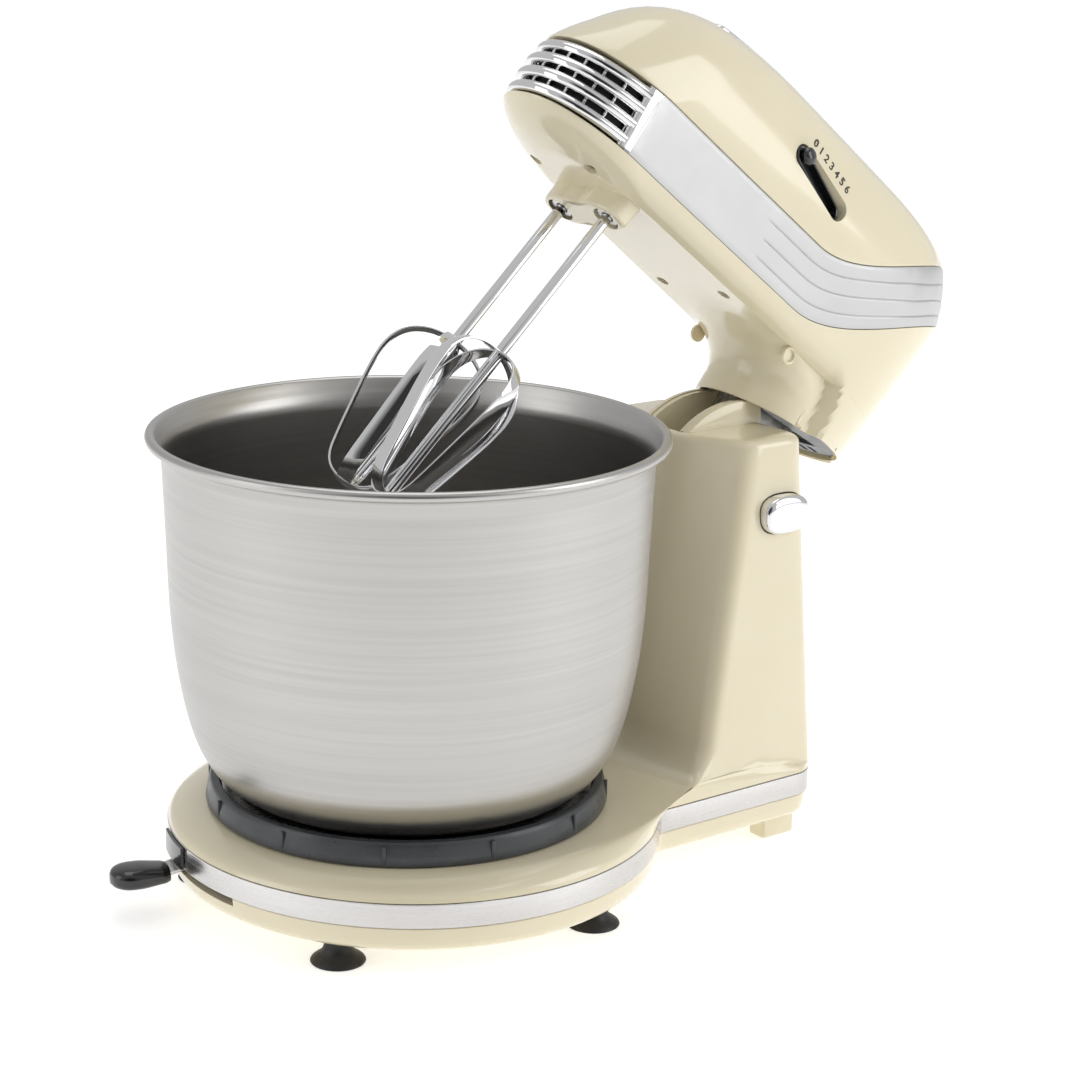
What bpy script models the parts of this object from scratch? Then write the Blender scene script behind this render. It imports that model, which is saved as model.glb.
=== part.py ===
"""Two-beater stand mixer with a tilting head, a lift-out bowl and a shift lever.

Everything is measured in millimetres and scaled to metres as each mesh is made.
The bowl's axis and the table give the local frame; FRAME_X then moves the whole
mixer so that its origin is under the middle of its bounding box.  +X runs from
the bowl towards the column, +Z is up.  The head is modelled closed, in a frame
whose origin is the hinge pin, and its empty is then tilted open.
"""
import math

import bmesh
import bpy
from mathutils import Matrix, Vector

MM = 0.001
GAP = 0.35               # clearance between touching pieces

# ---- driving dimensions, millimetres -------------------------------------
FRAME_X = -84.147          # bowl axis, measured from the middle of the bounding box
PLATE_X = 4.0            # centre of the round base plate, from the bowl axis
PLATE_R = 102.5
FOOT_HALF = 63.0         # half width of the base under the column
FOOT_REAR = 178.0        # rear face of the base
WAIST_R = 12.0           # fillet between round plate and column foot
TRAY_LOW = 10.0
BAND_LOW = 21.6
BAND_HIGH = 31.6
PLATE_TOP = 39.2
WALL = 2.3
BOWL_R = 104.0
BOWL_TOP = 192.8
RING_R = 83.5
HINGE = (164.0, 142.0)   # hinge pin, X and Z
TILT_DEG = 38.0
HEAD_LOW = 66.3          # underside of the head above the hinge, head closed
STRIPE_LOW = 77.3        # lower edge of the side band near the nose
STRIPE_HIGH = 106.3
CROWN = 159.3
SOCKET = (-143.0, 15.0, 56.8)
BEATER_LEAN_DEG = 8.6
BEATER_LENGTH = 150.0
STRIP_HALF = 3.5         # half width of the flat strip the beater loops are bent from
COLUMN_TOP = 179.0
LIP_R = 47.4             # raised lips of the column's slot, about the hinge
SCREW_SPOTS = ((-45.0, -60.0), (-45.0, 60.0), (140.0, -30.0), (140.0, 30.0))   # base screws
LEVER_DEG = 16.5         # direction of the shift lever, from the front
BUTTON = (161.0, 147.0)   # release button, X and Z
# head frame: height against X of the nose and the rear, and the share of the half width
NOSE = ((66.3, -176.0), (68.5, -187.0), (72.5, -196.5), (77.3, -201.6), (90.0, -201.4), (105.3, -198.6),
        (115.0, -193.0), (123.3, -186.5), (134.0, -178.0), (143.3, -168.0), (151.0, -155.0), (156.5, -139.0),
        (CROWN, -118.0))
REAR = ((66.3, 44.8), (77.0, 46.6), (95.0, 49.3), (108.0, 51.2), (121.0, 53.2), (131.0, 53.4), (139.0, 51.5),
        (147.0, 46.0), (153.0, 38.0), (157.0, 27.0), (CROWN, 12.0))
FLANK = ((66.3, 0.80), (68.5, 0.90), (72.0, 0.97), (77.3, 1.0), (STRIPE_HIGH, 1.0))
NOSE_CAP = 44.0
REAR_CAP = 48.0
NOSE_TIP = 7             # index of the foremost point of the head outline
# slot of the speed switch: centre, slope along the head, half width and half run
SLOT_CENTRE = (-69.5, -33.0, 127.0)
SLOT_SLOPE_DEG = 15.0
SLOT_HALF = 4.9
SLOT_RUN = 15.5
# neck: height against X of its front and rear, and its two half widths
NECK_FRONT = ((38.8, -33.0), (49.8, -31.6), (56.0, -34.5), (61.0, -40.0), (64.5, -48.0), (67.0, -58.0))
NECK_REAR = ((40.0, 37.5), (45.3, 40.4), (64.3, 44.4), (87.3, 48.0))
NECK_SLIM = 30.0
NECK_WIDE = 37.2
MOTOR_Z = 98.0           # motor axis above the hinge, head closed


def material(name, color, rough=0.4, metal=0.0):
    """A Principled material of one colour."""
    mat = bpy.data.materials.get(name)
    if mat is None:
        mat = bpy.data.materials.new(name)
        mat.use_nodes = True
        shader = mat.node_tree.nodes["Principled BSDF"]
        shader.inputs["Base Color"].default_value = (*color, 1.0)
        shader.inputs["Roughness"].default_value = rough
        shader.inputs["Metallic"].default_value = metal
    return mat


CREAM = ("cream_plastic", (0.80, 0.72, 0.50), 0.22, 0.0)
SILVER = ("silver_plastic", (0.62, 0.62, 0.62), 0.35, 0.6)
CHROME = ("chrome", (0.82, 0.82, 0.82), 0.08, 1.0)
STEEL = ("brushed_steel", (0.66, 0.66, 0.65), 0.3, 1.0)
DARK = ("dark_grey_plastic", (0.06, 0.065, 0.07), 0.35, 0.0)
BLACK = ("black_plastic", (0.02, 0.02, 0.02), 0.25, 0.0)
RUBBER = ("black_rubber", (0.02, 0.02, 0.02), 0.7, 0.0)
GREEN = ("board_green", (0.05, 0.22, 0.09), 0.5, 0.0)
BRASS = ("brass", (0.7, 0.52, 0.22), 0.3, 1.0)
WHITE = ("white_nylon", (0.85, 0.85, 0.82), 0.5, 0.0)


def clear_scene():
    for obj in list(bpy.data.objects):
        bpy.data.objects.remove(obj, do_unlink=True)


def empty(name, parent=None, loc=(0, 0, 0), rot=(0, 0, 0)):
    """A named empty that carries a moving group; loc in millimetres, rot in degrees."""
    obj = bpy.data.objects.new(name, None)
    obj.location = Vector(loc) * MM
    obj.rotation_euler = [math.radians(v) for v in rot]
    obj.parent = parent
    bpy.context.collection.objects.link(obj)
    return obj


def finish(name, bm, look, parent, sharp=35.0):
    """Closes a bmesh given in millimetres and links it as one object."""
    bmesh.ops.remove_doubles(bm, verts=bm.verts, dist=0.001)
    bmesh.ops.recalc_face_normals(bm, faces=bm.faces)
    bmesh.ops.scale(bm, vec=(MM, MM, MM), verts=bm.verts)
    mesh = bpy.data.meshes.new(name)
    bm.to_mesh(mesh)
    bm.free()
    mesh.materials.append(material(*look))
    mesh.shade_smooth()
    mesh.set_sharp_from_angle(angle=math.radians(sharp))
    obj = bpy.data.objects.new(name, mesh)
    obj.parent = parent
    bpy.context.collection.objects.link(obj)
    return obj


def strip_cap(bm, loop, tip):
    """Closes a mirrored loop with cross strips from its tip, so a saddle-shaped end stays clean."""
    count = len(loop)
    for k in range(count // 2):
        corners = [loop[(tip - k) % count], loop[(tip + k) % count],
                   loop[(tip + k + 1) % count], loop[(tip - k - 1) % count]]
        bm.faces.new(list(dict.fromkeys(corners)))


def loft(bm, rings, start_cap=True, end_cap=True, close_loop=False, tip=None):
    """Skins rings of equal point count into bm; tip asks for strip caps on mirrored rings."""
    loops = [[bm.verts.new(p) for p in ring] for ring in rings]
    pairs = list(zip(loops, loops[1:]))
    if close_loop:
        pairs.append((loops[-1], loops[0]))
    for low, high in pairs:
        count = len(low)
        for i in range(count):
            j = (i + 1) % count
            bm.faces.new((low[i], low[j], high[j], high[i]))
    if close_loop:
        return
    for wanted, loop in ((start_cap, loops[0]), (end_cap, loops[-1])):
        if wanted and tip is None:
            bm.faces.new(loop)
        elif wanted:
            strip_cap(bm, loop, tip)


def circle(radius, z, steps=32, centre=(0.0, 0.0)):
    ring = []
    for i in range(steps):
        turn = 2 * math.pi * i / steps
        ring.append((centre[0] + radius * math.cos(turn), centre[1] + radius * math.sin(turn), z))
    return ring


def turned(name, profile, look, parent, steps=32, hollow=False, place=None):
    """A turned piece about Z from (radius, z) points; hollow closes the profile on itself."""
    bm = bmesh.new()
    loft(bm, [circle(r, z, steps) for r, z in profile], not hollow, not hollow, hollow)
    if place is not None:
        bmesh.ops.transform(bm, matrix=place, verts=bm.verts)
    return finish(name, bm, look, parent)


def block(bm, low, high):
    """A box between two corners."""
    made = bmesh.ops.create_cube(bm, size=1.0)["verts"]
    size = [b - a for a, b in zip(low, high)]
    middle = [(a + b) / 2 for a, b in zip(low, high)]
    bmesh.ops.scale(bm, vec=size, verts=made)
    bmesh.ops.translate(bm, vec=middle, verts=made)
    return made


def box(name, low, high, look, parent, bevel=0.0):
    bm = bmesh.new()
    block(bm, low, high)
    if bevel:
        bmesh.ops.bevel(bm, geom=bm.edges[:], offset=bevel, segments=1, affect="EDGES")
    return finish(name, bm, look, parent)


def along(axis, centre, tilt=0.0):
    """Turns a piece made about Z so that it lies along X or Y, or leans forward by tilt."""
    turn = Matrix.Identity(4)
    if axis == "X":
        turn = Matrix.Rotation(math.pi / 2, 4, "Y")
    if axis == "Y":
        turn = Matrix.Rotation(-math.pi / 2, 4, "X")
    lean = Matrix.Rotation(math.radians(tilt), 4, "Y")
    return Matrix.Translation(Vector(centre)) @ lean @ turn


def rod(name, radius, start, end, look, parent, axis="Z", centre=(0, 0, 0), bore=0.0, steps=20, tilt=0.0):
    """A round bar, or a tube when bore is given, from start to end along its axis."""
    profile = [(radius, start), (radius, end)]
    if bore:
        profile += [(bore, end), (bore, start)]
    return turned(name, profile, look, parent, steps, bool(bore), along(axis, centre, tilt))


def boolean(target, tool, operation):
    """Adds an exact Boolean; the tool becomes a hidden guide."""
    mod = target.modifiers.new(operation.lower() + "_" + tool.name, "BOOLEAN")
    mod.operation = operation
    mod.solver = "EXACT"
    mod.object = tool
    tool.hide_render = True
    tool.display_type = "WIRE"


def cut(target, tool):
    boolean(target, tool, "DIFFERENCE")


def join(target, tool):
    boolean(target, tool, "UNION")


def table(points, value):
    """Linear reading of a short list of (key, value) points with rising keys."""
    if value <= points[0][0]:
        return points[0][1]
    for (k0, v0), (k1, v1) in zip(points, points[1:]):
        if value <= k1:
            return v0 + (v1 - v0) * (value - k0) / (k1 - k0)
    return points[-1][1]


def smooth(t):
    t = min(max(t, 0.0), 1.0)
    return t * t * (3 - 2 * t)


# ---- base ------------------------------------------------------------------
def base_outline(inset, z):
    """Round plate with a straight-sided foot for the column, pulled in by inset."""
    radius = PLATE_R - inset
    half = FOOT_HALF - inset
    rear = FOOT_REAR - inset
    fillet = WAIST_R + inset
    corner = 14.0 - min(inset, 8.0)
    reach = math.sqrt((radius + fillet) ** 2 - (half + fillet) ** 2)
    start = math.atan2(half + fillet, reach)
    points = []
    for i in range(41):
        turn = start + (2 * math.pi - 2 * start) * i / 40
        points.append((PLATE_X + radius * math.cos(turn), radius * math.sin(turn)))
    for i in range(1, 5):
        turn = math.pi - start - (math.pi / 2 - start) * i / 4
        points.append((PLATE_X + reach + fillet * math.cos(turn), -half - fillet + fillet * math.sin(turn)))
    for i in range(5):
        turn = -math.pi / 2 + math.pi / 2 * i / 4
        points.append((rear - corner + corner * math.cos(turn), -half + corner + corner * math.sin(turn)))
    points += [(x, -y) for x, y in points[:-10:-1]]
    return [(x, y, z) for x, y in points]


def column_section(z, inset):
    """Plan of the column: a narrow front face that widens to flat sides and a flat back."""
    t = (z - BAND_HIGH) / (COLUMN_TOP - BAND_HIGH)
    half = 61.0 + (45.0 - 61.0) * t - inset
    front = 104.0 + (129.0 - 104.0) * t + inset
    shoulder = 110.0 + (145.0 - 110.0) * t + inset * 0.6
    rear = 177.0 + (176.5 - 177.0) * t - inset
    nose = 16.0 - inset * 0.4
    side = [(front, -nose * 0.5), (front + 1.2, -nose), ((front + shoulder) / 2 + 1.5, -(nose + half) / 2),
            (shoulder - 2.0, -half + 4.0), (shoulder + 3.0, -half), (rear - 9.0, -half),
            (rear - 2.5, -half + 3.0), (rear, -half + 9.0)]
    return [(x, y, z) for x, y in side] + [(x, -y, z) for x, y in side[::-1]]


def column_solid(name, inset, low, high, parent):
    bm = bmesh.new()
    levels = [low + (high - low) * i / 4 for i in range(5)]
    loft(bm, [column_section(z, inset) for z in levels])
    return finish(name, bm, CREAM, parent)


def make_column_shell(parent):
    """Top cover of the base and the column, moulded as one hollow shell open below."""
    bm = bmesh.new()
    steps = ((0.0, BAND_HIGH + GAP), (0.7, 33.6), (3.0, 35.3), (9.0, 37.0), (17.0, 38.5), (24.0, PLATE_TOP))
    loft(bm, [base_outline(inset, z) for inset, z in steps])
    shell = finish("column_shell", bm, CREAM, parent)
    join(shell, column_solid("column_outer", 0.0, 34.0, COLUMN_TOP, parent))
    lips = make_slot_lips(parent)
    join(shell, lips)
    bm = bmesh.new()
    inner = ((WALL, 30.0), (WALL + 0.7, 32.2), (WALL + 5.0, 34.0), (22.0, PLATE_TOP - WALL))
    loft(bm, [base_outline(inset, z) for inset, z in inner])
    cut(shell, finish("plate_hollow", bm, CREAM, parent))
    cut(shell, column_solid("column_hollow", WALL, 31.0, COLUMN_TOP - WALL, parent))
    cut(shell, box("arm_slot", (133.5, -13.0, 130.0), (190.0, 13.0, 200.0), CREAM, parent))
    cut(shell, rod("hub_hole", 20.4, 25.0, 45.0, CREAM, parent, steps=40))
    cut(shell, oval_plug("button_hole", 0.45, -70.0, -30.0, 0.0, CREAM, parent))
    return shell


def make_slot_lips(parent):
    """Raised rim round the slot in the column's top, curved about the hinge."""
    bm = bmesh.new()
    top = []
    for i in range(9):
        x = -32.5 + 45.0 * i / 8
        top.append((HINGE[0] + x, HINGE[1] + math.sqrt(LIP_R * LIP_R - x * x)))
    rings = [[(x, side, z) for x, z in top] + [(top[-1][0], side, 170.0), (top[0][0], side, 170.0)]
             for side in (-15.5, 15.5)]
    loft(bm, rings)
    return finish("slot_lips", bm, CREAM, parent)


def make_bottom_shell(parent):
    """Lower tray with its lever slot, screw holes and two moulded rear feet."""
    outer = ((9.0, TRAY_LOW), (4.0, 11.2), (1.4, 14.0), (0.5, BAND_LOW - GAP))
    inner = ((WALL + 0.5, BAND_LOW - GAP), (WALL + 1.4, 14.6), (10.0, TRAY_LOW + WALL))
    bm = bmesh.new()
    loft(bm, [base_outline(inset, z) for inset, z in outer + inner])
    tray = finish("base_bottom_shell", bm, CREAM, parent)
    cut(tray, make_sector("lever_slot", 90.0, 108.0, 157.0, 191.0, 18.0, 23.0, parent))
    for side in (-1, 1):
        foot = box(f"rear_foot_{side}", (154.0, side * 49.0 - 5.0, 0.0), (172.0, side * 49.0 + 5.0, 11.2),
                   CREAM, parent, 1.2)
        join(tray, foot)
    for index, (x, y) in enumerate(SCREW_SPOTS):
        cut(tray, rod(f"screw_hole_{index}", 2.1, 8.0, 16.0, CREAM, parent, "Z", (x, y, 0.0), steps=12))
    return tray


def make_sector(name, r_in, r_out, start, stop, low, high, parent, centre_x=0.0):
    """A curved black block about an upright axis, between two angles in degrees."""
    bm = bmesh.new()
    rings = []
    for i in range(9):
        turn = math.radians(start + (stop - start) * i / 8)
        c, s = math.cos(turn), math.sin(turn)
        inner = (centre_x + r_in * c, r_in * s)
        outer = (centre_x + r_out * c, r_out * s)
        rings.append([(*inner, low), (*outer, low), (*outer, high), (*inner, high)])
    loft(bm, rings)
    return finish(name, bm, BLACK, parent)


def make_band(parent):
    """Bright trim strip clamped between the two base shells."""
    bm = bmesh.new()
    rings = [base_outline(inset, z) for inset, z in
             ((-0.3, BAND_LOW), (-0.3, BAND_HIGH), (2.2, BAND_HIGH), (2.2, BAND_LOW))]
    loft(bm, rings, close_loop=True)
    return finish("base_band", bm, SILVER, parent)


def make_base_hardware(parent):
    """Suction feet, base screws and the lever's black escutcheon."""
    spots = {"front_right": (-68.0, -51.0), "front_left": (-68.0, 51.0),
             "middle_right": (36.0, -80.5), "middle_left": (36.0, 80.5)}
    profile = ((11.0, 0.0), (11.0, 1.2), (7.0, 3.6), (5.4, 6.0), (5.4, TRAY_LOW - GAP))
    for where, (x, y) in spots.items():
        turned(f"suction_foot_{where}", profile, RUBBER, parent, 24, False, along("Z", (x, y, 0.0)))
    screw = ((3.4, 7.6), (3.4, 9.6), (1.6, 9.6), (1.6, 26.0))
    for index, (x, y) in enumerate(SCREW_SPOTS):
        turned(f"base_screw_{index + 1}", screw, STEEL, parent, 12, False, along("Z", (x, y, 0.0)))
    make_sector("lever_escutcheon", 103.1, 104.4, 158.0, 171.0, BAND_LOW + 0.5, BAND_HIGH - 0.5, parent, PLATE_X)


# ---- bowl seat, lever and bowl ---------------------------------------------
def make_turntable(parent):
    """Hub under the seat and the steel strap that swings it."""
    hub = ((20.0, 21.0), (20.0, 39.6), (61.6, 39.6), (61.6, 41.8), (0.9, 41.8))
    turned("turntable_hub", hub, DARK, parent, 40)
    bm = bmesh.new()
    half = 6.0
    rings = []
    for x, low in ((-24.0, 19.2), (24.0, 19.2), (88.0, 19.2), (96.0, 19.0), (104.0, 17.0), (112.0, 16.4)):
        rings.append([(-x, -half, low), (-x, half, low), (-x, half, low + 1.4), (-x, -half, low + 1.4)])
    loft(bm, rings)
    turn = Matrix.Rotation(math.radians(-LEVER_DEG), 4, "Z")
    bmesh.ops.transform(bm, matrix=turn, verts=bm.verts)
    finish("lever_strap", bm, STEEL, parent)
    turned("lever_screw", ((3.5, 16.4), (3.5, 18.8)), STEEL, parent, 16)
    make_lever_knob(parent, turn)


def make_lever_knob(parent, turn):
    """Flat tongue-shaped grip slid over the end of the strap."""
    bm = bmesh.new()
    rings = []
    for inset, z in ((1.4, 12.2), (0.0, 13.6), (0.0, 20.0), (1.4, 21.6)):
        ring = [(-102.5, -7.5 + inset, z), (-102.5, 7.5 - inset, z)]
        for i in range(9):
            angle = math.pi / 2 - math.pi * i / 8
            ring.append((-117.0 - (9.0 - inset) * math.cos(angle), (9.0 - inset) * math.sin(angle), z))
        rings.append(ring)
    loft(bm, rings)
    bmesh.ops.transform(bm, matrix=turn, verts=bm.verts)
    knob = finish("lever_knob", bm, BLACK, parent)
    bm = bmesh.new()
    block(bm, (-112.4, -6.4, 15.6), (-96.0, 6.4, 18.8))
    bmesh.ops.transform(bm, matrix=turn, verts=bm.verts)
    cut(knob, finish("knob_socket", bm, BLACK, parent))


def make_seat_ring(parent):
    profile = ((RING_R, 39.6), (81.0, 49.3), (77.6, 49.3), (77.6, 42.6), (62.0, 42.2), (62.0, 39.6))
    turned("seat_ring", profile, DARK, parent, 48, True)


def make_bowl(parent):
    """Drawn bowl with a rolled rim, and the foot ring pressed under it."""
    outer = [(54.0, 43.8), (64.0, 45.0), (72.0, 48.3), (78.5, 53.0), (83.2, 59.0), (87.4, 67.5), (90.6, 78.0),
             (93.3, 91.0), (95.6, 107.0), (97.0, 124.0), (98.2, 157.0), (99.3, 184.0), (100.8, 189.6)]
    rim = []
    for i in range(7):
        turn = math.radians(-120.0 + 270.0 * i / 6)
        rim.append((BOWL_R - 0.3 + 2.1 * math.cos(turn), BOWL_TOP + 2.1 * math.sin(turn)))
    inner = [(r - 1.0, z + 0.35) for r, z in outer[3:-1]]
    inner += [(71.4, 49.2), (63.7, 45.9), (54.0, 44.8)]
    low = inner[-3:]
    wall = inner[:-3][::-1]
    turned("bowl", outer + rim + wall + low, STEEL, parent, 56)
    foot = ((76.9, 42.95), (76.9, 46.4), (72.0, 46.4), (66.0, 44.6), (66.0, 42.95))
    turned("bowl_foot_ring", foot, STEEL, parent, 48, True)


# ---- column fittings -------------------------------------------------------
def make_column_fittings(parent):
    """Hinge pin, its grey cradle and the bushes that carry it."""
    bm = bmesh.new()
    for side in (-1, 1):
        rings = []
        for y in (side * 10.0, side * 12.6):
            ring = []
            for i in range(9):
                x = -29.0 + 38.5 * i / 8
                ring.append((HINGE[0] + x, y, HINGE[1] + math.sqrt(47.0 ** 2 - x * x)))
            rings.append(ring + [(HINGE[0] + 9.5, y, 112.0), (HINGE[0] - 29.0, y, 112.0)])
        loft(bm, rings)
    cradle = finish("hinge_cradle", bm, CREAM, parent)
    floor = box("cradle_floor", (HINGE[0] - 29.0, -12.6, 109.0), (HINGE[0] + 9.5, 12.6, 113.0), CREAM, parent)
    join(cradle, floor)
    cut(cradle, rod("cradle_bore", 4.1, -30.0, 30.0, DARK, parent, "Y", (HINGE[0], 0.0, HINGE[1]), steps=28))
    rod("hinge_pin", 4.0, -21.0, 21.0, STEEL, parent, "Y", (HINGE[0], 0.0, HINGE[1]), steps=28)
    for name, side in (("right", -1), ("left", 1)):
        start, end = sorted((side * 13.0, side * 19.0))
        rod(f"hinge_bush_{name}", 7.5, start, end, WHITE, parent, "Y", (HINGE[0], 0.0, HINGE[1]), 4.1, 28)


def oval_plug(name, grow, start, end, dome, look, parent):
    """Oval plug of the head-release button along Y, with a domed outer face."""
    bm = bmesh.new()
    rings = []
    for shrink, y in ((dome, start), (0.0, start + max(dome, 1.0)), (0.0, end)):
        ring = []
        for i in range(28):
            turn = 2 * math.pi * i / 28
            c, s = math.cos(turn), math.sin(turn)
            ring.append((BUTTON[0] + (12.3 + grow - shrink) * math.copysign(abs(c) ** 0.75, c), y,
                         BUTTON[1] + (8.4 + grow - shrink) * math.copysign(abs(s) ** 0.75, s)))
        rings.append(ring)
    loft(bm, rings)
    return finish(name, bm, look, parent)


def make_release(parent):
    """Oval chrome head-release button with the stem that pulls the locking bar."""
    oval_plug("release_button", 0.0, -54.0, -43.0, 1.4, CHROME, parent)
    rod("release_stem", 3.5, -42.6, -36.0, WHITE, parent, "Y", (BUTTON[0], 0.0, BUTTON[1]), steps=16)
    box("locking_bar", (BUTTON[0] - 12.0, -35.6, 138.0), (BUTTON[0] + 8.0, -25.5, 150.0), STEEL, parent, 0.6)


# ---- head ------------------------------------------------------------------


def flank(z):
    """Share of the half width left at height z: full at the band, rounded above it."""
    if z <= STRIPE_HIGH:
        return table(FLANK, z)
    t = (z - STRIPE_HIGH) / (CROWN + 1.2 - STRIPE_HIGH)
    return max(1.0 - t ** 2.6, 0.0) ** (1 / 2.6)


def half_width(x):
    """Half width of the head at band height: slim at the nose, fuller at the rear."""
    return 33.0 + 5.5 * smooth((x + 175.0) / 190.0)


HEAD_PLAN = ([("nose", i / 14) for i in range(15)]
             + [("right", i / 6) for i in range(1, 6)]
             + [("rear", i / 12) for i in range(13)]
             + [("left", 1 - i / 6) for i in range(1, 6)])


def head_point(i, z, inset):
    """Point i of the head's outline at height z, pulled in by inset."""
    nose = table(NOSE, z) + inset
    rear = table(REAR, z) - inset
    kind, share = HEAD_PLAN[i]
    turn = math.pi * share
    if kind == "nose":
        x = nose + NOSE_CAP * (1.0 - abs(math.sin(turn)) ** 1.05)
        side = math.copysign(abs(math.cos(turn)) ** 0.92, math.cos(turn))
    elif kind == "rear":
        x = rear - REAR_CAP * (1.0 - abs(math.sin(turn)) ** 0.95)
        side = -math.copysign(abs(math.cos(turn)) ** 0.85, math.cos(turn))
    else:
        x = nose + NOSE_CAP + (rear - REAR_CAP - nose - NOSE_CAP) * share
        side = -1.0 if kind == "right" else 1.0
    return x, side * (half_width(x) * flank(z) - inset), z


def stripe_high(x):
    return STRIPE_HIGH + 44.0 * smooth((x + 53.6) / 100.0)


def stripe_low(x):
    return STRIPE_LOW + 50.0 * smooth((x + 48.6) / 110.0)


def seam_point(i, seam, offset, inset):
    """Point of the outline where it crosses a seam whose height varies along X."""
    z = STRIPE_HIGH
    for _ in range(8):
        z = seam(head_point(i, z, inset)[0]) + offset
    return head_point(i, z, inset)


def seam_ring(seam, offset, inset):
    return [seam_point(i, seam, offset, inset) for i in range(len(HEAD_PLAN))]


def level_ring(seam, offset, inset, level, share):
    """Ring part of the way from a seam to a flat level."""
    ring = []
    for i in range(len(HEAD_PLAN)):
        start = seam_point(i, seam, offset, inset)[2]
        ring.append(head_point(i, start + (level - start) * share, inset))
    return ring


def make_upper_shell(parent):
    """Top cover of the head, a thin dome with openings for the knob and the ejector."""
    shares = (0.07, 0.14, 0.22, 0.3, 0.38, 0.46, 0.54, 0.62, 0.69, 0.76, 0.82, 0.88, 0.915, 0.95, 0.975, 1.0)
    bm = bmesh.new()
    outer = [seam_ring(stripe_high, 0.0, 0.0)] + [level_ring(stripe_high, 0.0, 0.0, CROWN, s) for s in shares]
    inner = [seam_ring(stripe_high, 0.0, WALL)]
    inner += [level_ring(stripe_high, 0.0, WALL, CROWN - WALL, s) for s in shares[3::4]]
    loft(bm, inner[::-1] + outer, tip=NOSE_TIP)
    shell = finish("head_upper_shell", bm, CREAM, parent)
    cut(shell, knob_slot("knob_slot_cutter", SLOT_HALF, SLOT_RUN, -12.0, 12.0, parent))
    cut(shell, box("ejector_opening", (-138.5, -8.6, 140.0), (-107.5, 8.6, 170.0), CREAM, parent))
    return shell


def slot_frame():
    """Frame of the speed slot: X along the slot, Z out of the head's right flank."""
    slope = math.radians(SLOT_SLOPE_DEG)
    x_axis = Vector((math.cos(slope), 0.0, -math.sin(slope)))
    z_axis = Vector((0.0, -0.92, 0.39))
    z_axis = (z_axis - x_axis * z_axis.dot(x_axis)).normalized()
    y_axis = z_axis.cross(x_axis)
    turn = Matrix((x_axis, y_axis, z_axis)).transposed().to_4x4()
    return Matrix.Translation(Vector(SLOT_CENTRE)) @ turn


def stadium(half, run, z, steps=8):
    """Round-ended outline along X at height z."""
    ring = []
    for end in (1, -1):
        for i in range(steps + 1):
            turn = -math.pi / 2 + math.pi * i / steps
            ring.append((end * (run + half * math.cos(turn)), end * half * math.sin(turn), z))
    return ring


def knob_slot(name, half, run, low, high, parent):
    bm = bmesh.new()
    loft(bm, [stadium(half, run, low), stadium(half, run, high)])
    bmesh.ops.transform(bm, matrix=slot_frame(), verts=bm.verts)
    return finish(name, bm, BLACK, parent)


def make_lower_shell(parent):
    """Lower cover of the head with the hollow neck that reaches down to the hinge."""
    shares = (0.35, 0.65, 0.85, 1.0)
    bm = bmesh.new()
    rings = [seam_ring(stripe_low, -GAP, 0.0)]
    rings += [level_ring(stripe_low, -GAP, 0.0, HEAD_LOW, s) for s in shares]
    loft(bm, rings, tip=NOSE_TIP)
    shell = finish("head_lower_shell", bm, CREAM, parent)
    join(shell, neck_solid("neck_outer", 0.0, 0.0, 74.0, parent))
    join(shell, make_socket_boss(parent))
    bm = bmesh.new()
    floor = HEAD_LOW + WALL
    loft(bm, [level_ring(stripe_low, -GAP, WALL, floor, s) for s in (-0.2, 0.0, 0.5, 1.0)], tip=NOSE_TIP)
    cut(shell, finish("head_hollow", bm, CREAM, parent))
    cut(shell, neck_solid("neck_hollow", WALL, -12.0, 71.0, parent))
    cut(shell, rod("cord_hole", 5.35, 30.0, 60.0, CREAM, parent, "X", (0.0, 0.0, 58.0)))
    cut(shell, rod("lip_clearance", LIP_R + GAP, -16.2, 16.2, CREAM, parent, "Y", steps=72))
    for name, side in (("right", -1), ("left", 1)):
        centre = (SOCKET[0], side * SOCKET[1], SOCKET[2])
        cut(shell, rod(f"socket_bore_{name}", 6.6, -4.0, 30.0, CREAM, parent, "Z", centre, tilt=BEATER_LEAN_DEG))
    return shell


def make_socket_boss(parent):
    """Bridge under the nose that carries the two beater sockets."""
    bm = bmesh.new()
    rings = []
    for grow, z in ((-0.8, 0.0), (0.0, 1.2), (1.5, 14.0), (2.5, 18.0)):
        ring = []
        for end in (1, -1):
            for i in range(9):
                turn = -math.pi / 2 + math.pi * i / 8 + (0 if end == 1 else math.pi)
                ring.append((-(9.6 + grow) * math.sin(turn), end * SOCKET[1] + (9.6 + grow) * math.cos(turn), z))
        rings.append(ring)
    loft(bm, rings)
    place = along("Z", (SOCKET[0], 0.0, SOCKET[2]), BEATER_LEAN_DEG)
    bmesh.ops.transform(bm, matrix=place, verts=bm.verts)
    return finish("socket_boss", bm, CREAM, parent)


def neck_low(x):
    """Height of the neck's underside, which rises a little towards the rear."""
    return 38.8 + 0.1 * (x + 33.6)


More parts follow.
